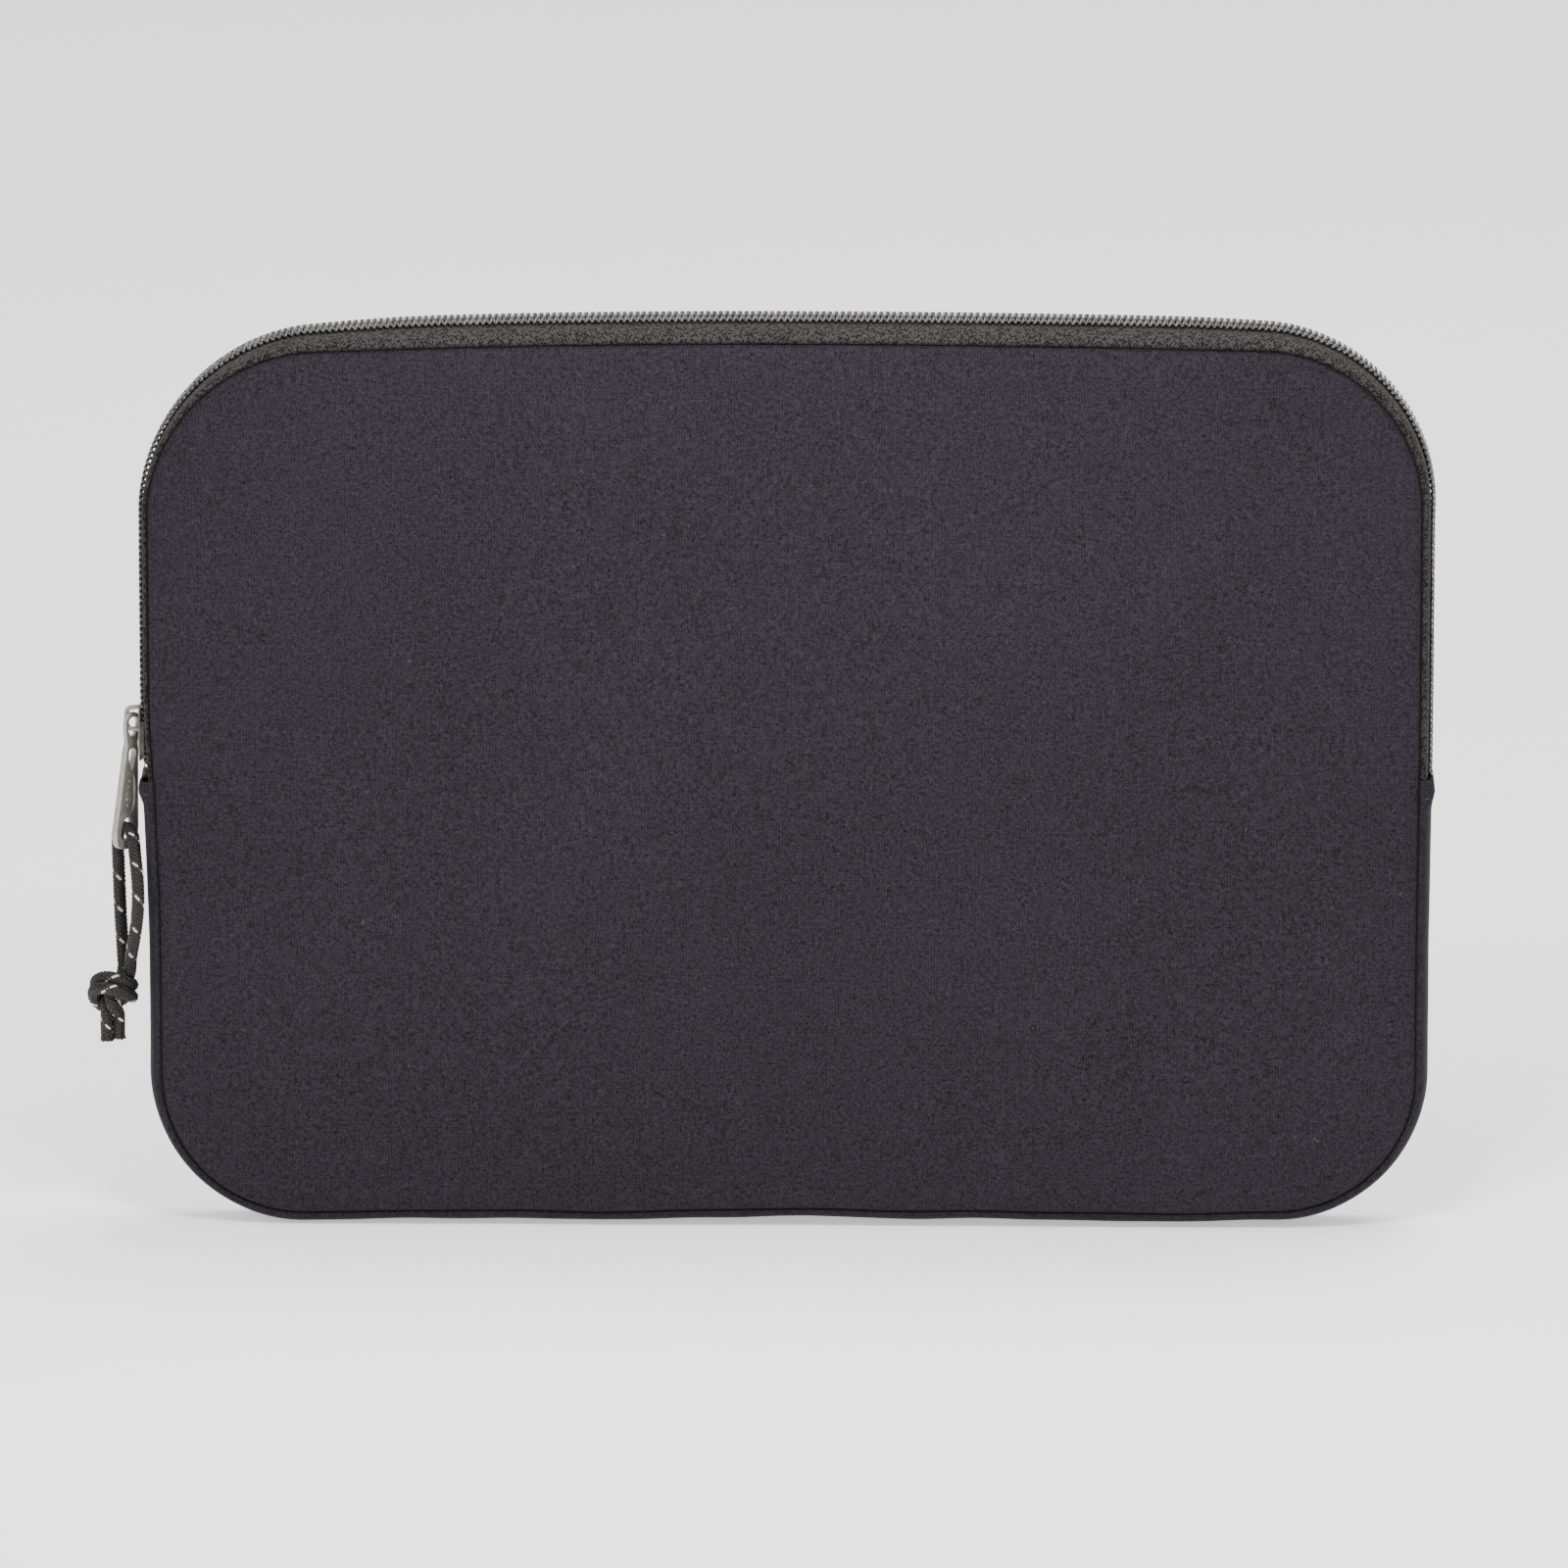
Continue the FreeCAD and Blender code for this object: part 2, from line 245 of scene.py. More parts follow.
def jersey(name, dark, light):
    # knit face: rows of small V loops, a soft heather and faint lint
    courseSize = 0.62 * mm
    waleSize = 0.78 * mm

    def build(kit):
        place = kit.coords()
        x, y, z = kit.split(place)
        across = x + 0.35 * y
        column = across / waleSize
        lean = (column.wrap(1.0).size() - 0.5).size() * 2.0
        row = z / courseSize + 0.5 * lean
        loop = (row * math.tau).sine() * 0.5 + 0.5
        gap = (column * math.tau).sine() * 0.5 + 0.5
        weave = loop * 0.6 + gap * 0.4
        fine = kit.noise(place, 2500.0, 2.0, 0.6)
        heather = kit.noise(place, 1150.0, 2.0, 0.6)
        cloud = kit.noise(place, 14.0, 2.0, 0.5)
        tone = weave * 0.14 + fine * 0.55 + heather * 0.45 + cloud * 0.06 - 0.08
        shade = kit.ramp(tone, [(0.36, 0.0), (0.68, 1.0)])
        color = kit.mixColor(shade, dark, light)
        lintSpots = kit.noise(place, 900.0, 0.0)
        lintArea = kit.noise(place, 60.0, 1.0)
        lint = (lintSpots > 0.82) * (lintArea > 0.64)
        color = kit.mixColor(lint * 0.4, color, rgb(0.07, 0.068, 0.075))
        height = weave * 0.7 + fine * 0.5 + heather * 0.4
        return {"Base Color": color, "Roughness": 0.80 + 0.14 * fine,
                "Normal": kit.bump(height, 0.10 * mm, 0.9)}
    fixed = {"Sheen Weight": 0.03, "Sheen Roughness": 0.45, "Specular IOR Level": 0.14,
             "Sheen Tint": rgb(0.62, 0.60, 0.72)}
    return newMaterial(name, fixed, build)


def ribbedTape(name, dark, light):
    # herringbone tape on its own map: u runs along the zip in metres, v across it
    def build(kit):
        u, v, _ = kit.split(kit.coords("UV"))
        ribWidth = 0.95 * mm
        chevronWidth = 2.2 * mm
        threadWidth = 0.36 * mm
        slant = ((v / chevronWidth).wrap(1.0) - 0.5).size() * 2.0
        rib = ((u / ribWidth + 1.1 * slant) * math.tau).sine() * 0.5 + 0.5
        cross = ((v / threadWidth) * math.tau).sine() * 0.5 + 0.5
        place = kit.coords()
        fine = kit.noise(place, 2600.0, 2.0, 0.6)
        grain = kit.noise(place, 1400.0, 0.0)
        # painted shade: the tape colour darkens where the tape dips into the seam groove
        seamShadeFade = ((v - 0.9 * mm) / (1.9 * mm)).least(1.0).most(0.0)
        tone = rib * 0.26 + cross * 0.08 + fine * 0.35 + grain * 1.05 - 0.36
        shade = kit.ramp(tone, [(0.34, 0.0), (0.68, 1.0)]) * (0.35 + 0.65 * seamShadeFade)
        return {"Base Color": kit.mixColor(shade, dark, light), "Roughness": 0.72 + 0.15 * fine,
                "Normal": kit.bump(rib * 0.8 + cross * 0.3 + fine * 0.3, 0.10 * mm, 0.9)}
    fixed = {"Sheen Weight": 0.03, "Sheen Roughness": 0.4, "Specular IOR Level": 0.18}
    return newMaterial(name, fixed, build)


def nylon(name, dark, light, rough):
    # drawn nylon filament: fine lengthwise streaks and a soft gloss
    def build(kit):
        place = kit.coords()
        streak = kit.noise(place, 2600.0, 2.0, 0.6)
        patch = kit.noise(place, 160.0, 2.0, 0.5)
        tone = streak * 0.5 + patch * 0.5
        shade = kit.ramp(tone, [(0.3, 0.0), (0.7, 1.0)])
        return {"Base Color": kit.mixColor(shade, dark, light), "Roughness": rough + 0.16 * streak,
                "Normal": kit.bump(streak, 0.02 * mm, 0.5)}
    return newMaterial(name, {"Specular IOR Level": 0.6, "Coat Weight": 0.5, "Coat Roughness": 0.12}, build)


def plainWeave(name, dark, light):
    # woven binding: warp and weft cross at right angles
    pitch = 0.6 * mm

    def build(kit):
        place = kit.coords()
        x, y, z = kit.split(place)
        warp = ((x + y) / pitch * math.pi).sine().size()
        weft = ((z + 0.4 * y) / pitch * math.pi).sine().size()
        weave = (warp * weft).power(0.5)
        fine = kit.noise(place, 1400.0, 2.0, 0.6)
        patch = kit.noise(place, 45.0, 2.0, 0.5)
        tone = weave * 0.45 + fine * 0.3 + patch * 0.35
        shade = kit.ramp(tone, [(0.25, 0.0), (0.85, 1.0)])
        return {"Base Color": kit.mixColor(shade, dark, light), "Roughness": 0.75 + 0.15 * fine,
                "Normal": kit.bump(weave + fine * 0.3, 0.06 * mm, 0.8)}
    fixed = {"Sheen Weight": 0.15, "Sheen Roughness": 0.5, "Specular IOR Level": 0.2}
    return newMaterial(name, fixed, build)


def brushedCloth(name, dark, light):
    # brushed lining: short fibres combed one way, in small tufts
    def build(kit):
        place = kit.coords()
        combed = kit.add("ShaderNodeMapping", {}, {"Vector": place, "Rotation": (0.0, 0.35, 0.0),
                                                   "Scale": (1.0, 1.0, 0.3)})
        fibre = kit.noise(combed, 2300.0, 3.0, 0.7)
        tuft = kit.noise(place, 480.0, 2.0, 0.6)
        stroke = kit.noise(place, 34.0, 2.0, 0.5)
        shade = kit.ramp(fibre * 0.5 + tuft * 0.38 + stroke * 0.12, [(0.36, 0.0), (0.66, 1.0)])
        return {"Base Color": kit.mixColor(shade, dark, light), "Roughness": 0.82 + 0.12 * fibre,
                "Normal": kit.bump(fibre * 0.6 + tuft * 0.6, 0.12 * mm, 0.9)}
    fixed = {"Sheen Weight": 0.06, "Sheen Roughness": 0.5, "Specular IOR Level": 0.12}
    return newMaterial(name, fixed, build)


def nickel(name, base, worn, rough, metallic):
    # cast and tumbled nickel: fine scratches, dull patches and sharp edges lightened, partly for rubbed wear
    # and partly as a painted highlight
    def build(kit):
        place = kit.coords()
        drawnOut = kit.add("ShaderNodeMapping", {}, {"Vector": place, "Scale": (1.0, 1.0, 0.08)})
        scratch = kit.noise(drawnOut, 5200.0, 3.0, 0.7)
        patch = kit.noise(place, 520.0, 3.0, 0.55)
        pits = kit.noise(place, 2400.0, 1.0, 0.5)
        edge = kit.add("ShaderNodeNewGeometry").out("Pointiness")
        rim = kit.ramp(edge, [(0.50, 0.0), (0.58, 1.0)])
        tone = patch * 0.7 + scratch * 0.3
        shade = kit.ramp(tone, [(0.35, 0.0), (0.65, 1.0)])
        color = kit.mixColor(shade, base, worn)
        # painted highlight: sharp edges are lightened in the colour, partly for rubbed wear and partly for
        # light catching them
        color = kit.mixColor(rim * 0.5, color, rgb(0.60, 0.56, 0.50))
        return {"Base Color": color, "Roughness": rough + 0.18 * patch + 0.10 * scratch,
                "Normal": kit.bump(scratch * 0.4 + pits * 0.6, 0.012 * mm, 0.6)}
    return newMaterial(name, {"Metallic": metallic}, build)


knit = jersey("knitFace", rgb(0.0014, 0.0011, 0.0017), rgb(0.031, 0.0255, 0.0355))
knitGusset = jersey("knitGusset", rgb(0.0014, 0.0011, 0.0017), rgb(0.027, 0.0225, 0.031))
liningCloth = brushedCloth("liningCloth", rgb(0.0035, 0.0035, 0.0042), rgb(0.026, 0.026, 0.030))
bindingCloth = plainWeave("bindingCloth", rgb(0.004, 0.004, 0.0045), rgb(0.022, 0.022, 0.024))
tapeCloth = ribbedTape("tapeCloth", rgb(0.0012, 0.0010, 0.0010), rgb(0.041, 0.0365, 0.0357))
coilNylon = nylon("coilNylon", rgb(0.002, 0.0018, 0.0017), rgb(0.115, 0.105, 0.10), 0.12)
stitchThread = nylon("stitchThread", rgb(0.010, 0.009, 0.009), rgb(0.050, 0.046, 0.044), 0.42)
seamThread = nylon("seamThread", rgb(0.003, 0.003, 0.0035), rgb(0.016, 0.015, 0.018), 0.6)
sliderMetal = nickel("sliderMetal", rgb(0.045, 0.042, 0.039), rgb(0.125, 0.117, 0.108), 0.36, 0.8)
bailMetal = nickel("bailMetal", rgb(0.16, 0.15, 0.138), rgb(0.30, 0.28, 0.26), 0.34, 0.85)
pullMetal = nickel("pullMetal", rgb(0.25, 0.235, 0.215), rgb(0.42, 0.395, 0.365), 0.40, 0.75)


def yarnMaterial(name, dark, light, sheen):
    # filament yarn: fine streaks, a little gloss and darker hollows
    def build(kit):
        place = kit.coords()
        streak = kit.noise(place, 4200.0, 2.0, 0.6)
        patch = kit.noise(place, 420.0, 2.0, 0.5)
        shade = kit.ramp(streak * 0.6 + patch * 0.4, [(0.35, 0.0), (0.68, 1.0)])
        return {"Base Color": kit.mixColor(shade, dark, light), "Roughness": 0.42 + 0.25 * streak,
                "Normal": kit.bump(streak, 0.05 * mm, 0.8)}
    fixed = {"Sheen Weight": sheen, "Sheen Roughness": 0.35, "Specular IOR Level": 0.4}
    return newMaterial(name, fixed, build)


cordYarn = yarnMaterial("cordYarn", rgb(0.0012, 0.0009, 0.0008), rgb(0.022, 0.0155, 0.0125), 0.02)
tracerYarn = yarnMaterial("tracerYarn", rgb(0.34, 0.34, 0.33), rgb(0.74, 0.74, 0.72), 0.1)
print("materials done")


# The sleeve's outline

outline = {
    "halfWidth": 169.0 * mm,
    "narrowLeft": 2.0 * mm,      # how much the lower half is narrower on each side
    "narrowRight": 0.5 * mm,
    "widenLeft": 0.7 * mm,       # and how much the upper left side is wider
    "top": 240.3 * mm,
    "bottom": 3.4 * mm,
    "topRadiusLeft": 44.0 * mm,
    "topRadiusRight": 42.0 * mm,
    "bottomRadius": 38.0 * mm,
    "droopLeft": 5.0 * mm,       # how far the top edge falls towards each corner
    "droopRight": 2.6 * mm,
    "bottomBow": 1.2 * mm,
    "bottomRise": 1.3 * mm,      # how far the lower edge rises towards its right corner
    "step": 1.6 * mm,
    "seamDepth": 9.0 * mm,
    "zipEndLeft": 118.5 * mm,
    "zipEndRight": 118.5 * mm,
}


def rimLoop(inset=0.0):
    # points (x, z) and outward normals, anticlockwise seen from the front, from low on the right
    o = outline
    w = o["halfWidth"] - inset
    top, bottom = o["top"] - inset, o["bottom"] + inset
    rl, rr = o["topRadiusLeft"] - inset, o["topRadiusRight"] - inset
    rb = o["bottomRadius"] - inset
    points = []

    def straight(p, q, normal):
        count = max(1, round((Vector(q) - Vector(p)).length / o["step"]))
        for i in range(count):
            t = i / count
            points.append((lerp(p[0], q[0], t), lerp(p[1], q[1], t), *normal))

    def bend(cx, cz, radius, start):
        full = radius + inset
        count = round(full * math.pi / 2 / o["step"])
        for i in range(count):
            a = math.radians(start) + math.pi / 2 * i / count
            points.append((cx + radius * math.cos(a), cz + radius * math.sin(a), math.cos(a), math.sin(a)))

    straight((w, bottom + rb), (w, top - rr), (1, 0))
    bend(w - rr, top - rr, rr, 0)
    straight((w - rr, top), (rl - w, top), (0, 1))
    bend(rl - w, top - rl, rl, 90)
    straight((-w, top - rl), (-w, bottom + rb), (-1, 0))
    bend(rb - w, bottom + rb, rb, 180)
    straight((rb - w, bottom), (w - rb, bottom), (0, -1))
    bend(w - rb, bottom + rb, rb, 270)
    return points


def shaped(x, z):
    # the gentle bow of the top edge, the narrower lower half and the slack of the lower edge
    o = outline
    high = smoothStep(0.55, 1.0, z / o["top"])
    reach = min(1.0, abs(x) / o["halfWidth"])
    droop = o["droopLeft"] if x < 0 else o["droopRight"]
    narrow = o["narrowLeft"] if x < 0 else o["narrowRight"]
    z -= droop * high * reach ** 2.0
    x *= 1.0 - narrow / o["halfWidth"] * (1.0 - smoothStep(70 * mm, 150 * mm, z))
    x -= o["widenLeft"] * smoothStep(0.0, 120 * mm, -x) * smoothStep(110 * mm, 145 * mm, z)
    low = 1.0 - smoothStep(0.0, 26 * mm, z)
    wave = 0.35 * math.sin(x * 41.0 + 0.6) + 0.25 * math.sin(x * 83.0 + 2.1) + 0.12 * math.sin(x * 160.0)
    z += (wave * mm + o["bottomBow"] * (1.0 - (reach / 0.75) ** 2)) * low * max(0.0, 1.0 - reach ** 4)
    z += o["bottomRise"] * smoothStep(60 * mm, 135 * mm, x) * (1.0 - smoothStep(0.0, 60 * mm, z))
    return x, z


def normalAt(points, i):
    before, after = points[i - 1], points[(i + 1) % len(points)]
    tangent = Vector((after[0] - before[0], after[1] - before[1])).normalized()
    return Vector((tangent.y, -tangent.x))


rim = [shaped(p[0], p[1]) for p in rimLoop()]      # the seam line, a closed loop of (x, z)
rimCount = len(rim)
rimNormals = [normalAt(rim, i) for i in range(rimCount)]


def runBetween(start, stop):
    # indices of the rim from one to the other, clockwise seen from the front
    out = [start]
    while out[-1] != stop:
        out.append((out[-1] - 1) % rimCount)
    return out


def nearest(x, z):
    return min(range(rimCount), key=lambda i: (rim[i][0] - x) ** 2 + (rim[i][1] - z) ** 2)


leftZipEnd = nearest(-outline["halfWidth"], outline["zipEndLeft"])
rightZipEnd = nearest(outline["halfWidth"], outline["zipEndRight"])
zipRun = runBetween(leftZipEnd, rightZipEnd)
gussetRun = runBetween(rightZipEnd, leftZipEnd)
print("outline", rimCount, "points; zip", len(zipRun), "gusset", len(gussetRun))


def lengthsAlong(run):
    total = [0.0]
    for a, b in zip(run, run[1:]):
        total.append(total[-1] + math.dist(rim[a], rim[b]))
    return total


def onRim(i, r, y):
    # a point that stands r outside the seam line and at depth y
    x, z = rim[i]
    n = rimNormals[i]
    return Vector((x + n.x * r, y, z + n.y * r))


# Cross-sections of the zip band. Each is a row of (r, y) in mm, from the seam to the chain.

bands = {
    "left": {
        "front": [(-0.5, -7.6), (0.0, -8.3), (0.35, -8.9), (0.85, -9.0), (1.25, -8.5), (1.4, -7.6),
                  (1.45, -6.3), (1.4, -5.2), (1.3, -4.2), (1.25, -2.3), (1.2, -0.25)],
        "back": [(-0.5, 7.6), (0.0, 8.3), (0.35, 8.9), (0.85, 9.0), (1.25, 8.5), (1.4, 7.6), (1.45, 6.3),
                 (1.4, 5.2), (1.3, 4.2), (1.25, 2.3), (1.2, 0.25)],
    },
    "top": {
        "front": [(-0.5, -7.6), (0.0, -8.3), (0.35, -8.9), (1.1, -9.2), (2.2, -8.5), (3.1, -7.4),
                  (3.7, -6.2), (4.2, -5.0), (4.5, -3.7), (4.75, -2.2), (5.1, -0.25)],
        "back": [(-0.5, 7.6), (0.0, 8.3), (0.4, 8.9), (1.5, 9.2), (3.0, 8.6), (4.2, 7.4), (5.1, 6.2),
                 (5.6, 5.0), (5.8, 3.7), (5.7, 2.2), (5.3, 0.25)],
    },
    "right": {
        "front": [(-0.5, -7.6), (0.0, -8.3), (0.35, -8.9), (1.0, -9.1), (1.7, -8.6), (2.2, -7.5),
                  (2.3, -6.2), (2.25, -5.0), (2.2, -3.6), (2.2, -2.2), (2.2, -0.25)],
        "back": [(-0.5, 7.6), (0.0, 8.3), (0.35, 8.9), (1.0, 9.1), (1.7, 8.6), (2.2, 7.5), (2.3, 6.2),
                 (2.25, 5.0), (2.2, 3.6), (2.2, 2.2), (2.2, 0.25)],
    },
}


def bandAt(share, half):
    # share runs from 0 at the left end of the zip to 1 at the right end
    toTop = smoothStep(0.14, 0.33, share)
    toRight = smoothStep(0.68, 0.88, share)
    rows = []
    for left, top, right in zip(bands["left"][half], bands["top"][half], bands["right"][half]):
        a = [lerp(left[k], top[k], toTop) for k in (0, 1)]
        rows.append(tuple(lerp(a[k], right[k], toRight) * mm for k in (0, 1)))
    return rows


def finer(rows, parts=3):
    # a smooth line through the rows, each span in a few parts
    out = []
    last = len(rows) - 1
    for i in range(last):
        p0, p1, p2, p3 = rows[max(0, i - 1)], rows[i], rows[i + 1], rows[min(last, i + 2)]
        for k in range(parts):
            out.append(smoothPoint(p0, p1, p2, p3, k / parts))
    out.append(rows[last])
    return out


def chainFrame(share):
    # the middle of the closed chain and the direction across it, as (r, y)
    front = bandAt(share, "front")[-2]
    back = bandAt(share, "back")[-2]
    middle = ((front[0] + back[0]) / 2, (front[1] + back[1]) / 2)
    across = Vector((back[0] - front[0], back[1] - front[1])).normalized()
    return middle, across


def stripMesh(name, run, rowsAt, thickness):
    # a thin closed strip along the run; its map has u along the run and v across it, in metres
    lengths = lengthsAlong(run)
    grid = []
    for i, length in zip(run, lengths):
        rows = rowsAt(length / lengths[-1])
        outer = [onRim(i, r, y) for r, y in rows]
        grid.append((rows, outer))
    wide = len(grid[0][0])
    verts, faces, uvs = [], [], []
    for (rows, outer), i in zip(grid, run):
        normal3 = Vector((rimNormals[i].x, 0, rimNormals[i].y))
        inner = []
        for k in range(wide):
            a, b = rows[max(0, k - 1)], rows[min(wide - 1, k + 1)]
            slope = Vector((b[0] - a[0], b[1] - a[1])).normalized()
            side = 1.0 if rows[0][1] < 0 else -1.0
            lift = Vector((slope.y, -slope.x)) * side
            inner.append(outer[k] - (normal3 * lift.x + Vector((0, lift.y, 0))) * thickness)
        verts.extend(outer + inner)
    across = [0.0]
    middleRows = grid[len(grid) // 2][0]
    for a, b in zip(middleRows, middleRows[1:]):
        across.append(across[-1] + math.dist(a, b))
    loop = 2 * wide
    for j in range(len(grid) - 1):
        a, b = j * loop, (j + 1) * loop
        for k in range(wide - 1):
            faces.append((a + k, a + k + 1, b + k + 1, b + k))
            faces.append((a + wide + k, b + wide + k, b + wide + k + 1, a + wide + k + 1))
        faces.append((a, b, b + wide, a + wide))
        faces.append((a + wide - 1, a + 2 * wide - 1, b + 2 * wide - 1, b + wide - 1))
    for j in (0, len(grid) - 1):
        a = j * loop
        for k in range(wide - 1):
            faces.append((a + k, a + wide + k, a + wide + k + 1, a + k + 1))
    mesh = meshFrom(name, verts, faces)
    layer = mesh.uv_layers.new(name="UVMap")
    for poly in mesh.polygons:
        for li in poly.loop_indices:
            v = mesh.loops[li].vertex_index
            j, k = divmod(v, loop)
            layer.data[li].uv = (lengths[j], across[k % wide])
    faceOutward(mesh)
    return mesh


def acrossFold(piece):
    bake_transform(piece)


def follow(piece, half):
    # the front half keeps its placement baked into its mesh, and the back half stays with the shell
    if half == "front":
        acrossFold(piece)
    else:
        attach(piece, "shell")


# Camera and light

cameraSet = {"azimuth": 1.2, "elevation": 12.0, "distance": 4.0, "target": (-0.0005, 0.0, 0.1195),
             "widthSeen": 0.4187, "sensor": 36.0}


def makeCamera():
    c = cameraSet
    a, e = math.radians(c["azimuth"]), math.radians(c["elevation"])
    away = Vector((math.sin(a) * math.cos(e), -math.cos(a) * math.cos(e), math.sin(e)))
    target = Vector(c["target"])
    camera = linked("camera", bpy.data.cameras.new("camera"))
    camera.location = target + away * c["distance"]
    camera.rotation_euler = (target - camera.location).to_track_quat("-Z", "Y").to_euler()
    camera.data.sensor_width = c["sensor"]
    camera.data.lens = c["sensor"] * c["distance"] / c["widthSeen"]
    camera.data.clip_end = 60.0
    bpy.context.scene.camera = camera


lights = [
    {"name": "keyLight", "place": (0.02, -0.36, 0.52), "size": 0.16, "power": 3.0,
     "color": (1.0, 0.985, 0.965)},
    {"name": "fillLight", "place": (-2.2, -1.8, 1.4), "size": 2.0, "power": 20.0,
     "color": (0.96, 0.98, 1.0)},
    {"name": "topLight", "place": (0.5, 0.6, 2.6), "size": 1.8, "power": 60.0,
     "color": (1.0, 1.0, 1.0)},
]


def makeLights():
    aim = Vector((0, 0, 0.12))
    for spec in lights:
        data = bpy.data.lights.new(spec["name"], "AREA")
        data.shape = "DISK"
        data.size = spec["size"]
        data.energy = spec["power"]
        data.color = spec["color"]
        lamp = linked(spec["name"], data)
        lamp.location = spec["place"]
        lamp.rotation_euler = (aim - lamp.location).to_track_quat("-Z", "Y").to_euler()
    world = bpy.data.worlds.new("studio")
    bpy.context.scene.world = world
    world.use_nodes = True
    background = world.node_tree.nodes["Background"]
    background.inputs["Color"].default_value = (1.0, 1.0, 1.0, 1.0)
    background.inputs["Strength"].default_value = 0.9


def makeFloor():
    def build(kit):
        grain = kit.noise(kit.coords(), 30.0, 2.0)
        return {"Base Color": kit.mixColor(grain, rgb(0.93, 0.93, 0.925), rgb(0.95, 0.95, 0.945))}
    fixed = {"Roughness": 0.85, "Specular IOR Level": 0.2, "Emission Color": rgb(1.0, 1.0, 1.0),
             "Emission Strength": 0.6}
    material = newMaterial("floorPaper", fixed, build)
    size = 9.0
    verts = [(-size, -size, 0), (size, -size, 0), (size, size, 0), (-size, size, 0)]
    floor = newObject("floor", meshFrom("floor", verts, [(0, 1, 2, 3)], smooth=False), material)


makeCamera()
makeLights()
makeFloor()
print("camera and light done")


# Panels

panel = {
    "innerDepth": 7.95 * mm,
    "crown": 0.35 * mm,
    "rings": [0.0, 0.3, 0.7, 1.3, 2.1, 3.2, 4.8, 7.0, 10.0],
    "grid": 3.0 * mm,
    "liningLift": (0.06 * mm, 0.40 * mm),     # both faces of the lining, from the pad towards the pocket
    "liningCut": (0.338, 0.237),
    "liningArea": 0.0782,
    "edgeRoll": [(0.0, 8.0), (0.3, 9.0), (0.7, 9.5), (1.3, 9.9), (2.1, 10.2), (3.2, 10.45), (4.8, 10.75),
                 (7.0, 11.0), (10.0, 11.2), (16.0, 11.4), (28.0, 11.5), (200.0, 11.5)],
}


def rollDepth(insetMm):
    rows = panel["edgeRoll"]
    for (a, da), (b, db) in zip(rows, rows[1:]):
        if insetMm <= b:
            return lerp(da, db, (insetMm - a) / (b - a)) * mm
    return rows[-1][1] * mm


def insetOf(x, z):
    # distance inwards from the plain rounded outline
    o = outline
    w, top, bottom = o["halfWidth"], o["top"], o["bottom"]
    topRadius = o["topRadiusLeft"] if x < 0 else o["topRadiusRight"]
    radius = topRadius if z > 0.5 * top else o["bottomRadius"]
    cx = w - radius
    cz = top - radius if z > 0.5 * top else bottom + radius
    dx = max(0.0, abs(x) - cx)
    dz = max(0.0, z - cz) if z > 0.5 * top else max(0.0, cz - z)
    if dx > 0 and dz > 0:
        return radius - math.hypot(dx, dz)
    return min(w - abs(x), top - z, z - bottom)


def swell(x, z):
    # slack of the laminated cloth: broad, low waves that fade out at the seam
    a = math.sin(x * 19.0 + 1.3) * math.sin(z * 23.0 + 0.4)
    b = math.sin(x * 31.0 - z * 17.0 + 2.2)
    c = math.sin(x * 47.0 + z * 29.0 + 0.9)
    return (0.16 * a + 0.10 * b + 0.05 * c) * mm


def flatPanel():
    # a plan of the panel: rings near the edge and an even grid inside, joined by triangles
    points, edges, insets = [], [], []
    for inset in panel["rings"]:
        loop = rimLoop(inset * mm)
        first = len(points)
        for p in loop:
            points.append(Vector((p[0], p[1])))
            insets.append(inset)
        edges.extend((first + i, first + (i + 1) % len(loop)) for i in range(len(loop)))
    g = panel["grid"]
    limit = panel["rings"][-1] * mm + 0.6 * g
    columns = int(outline["halfWidth"] / g)
    rows = int(outline["top"] / g)
    for i in range(-columns, columns + 1):
        for j in range(rows + 1):
            x, z = i * g, (j + 0.5) * g
            if insetOf(x, z) > limit:
                points.append(Vector((x, z)))
                insets.append(insetOf(x, z) / mm)
    verts, _, faces, *_ = delaunay_2d_cdt(points, edges, [], 1, 1e-7)
    flat = [(v.x, v.y) for v in verts]
    lookup = {(round(p.x, 7), round(p.y, 7)): d for p, d in zip(points, insets)}
    depths = [lookup.get((round(x, 7), round(z, 7)), insetOf(x, z) / mm) for x, z in flat]
    return flat, depths, faces


panelPlan = flatPanel()
print("panel plan", len(panelPlan[0]), "points", len(panelPlan[2]), "faces")


cloth = {
    "pressure": 4.0,
    "slack": 0.006,        # how much larger the face cloth is cut than its pad
    "hold": 0.22,          # how firmly the foam below holds the middle of it
    "quality": 5,
    "mass": 0.15,
    "stretch": 12.0,
    "bending": 0.3,
    "frames": 20,
    "cap": 0.6 * mm,       # the most that any point may move
}


def sheetPoints(side, depthAt):
    flat, insets, _ = panelPlan
    points = []
    for (x, z), inset in zip(flat, insets):
        sx, sz = shaped(x, z)
        points.append(Vector((sx, side * depthAt(inset, x, z), sz)))
    return points


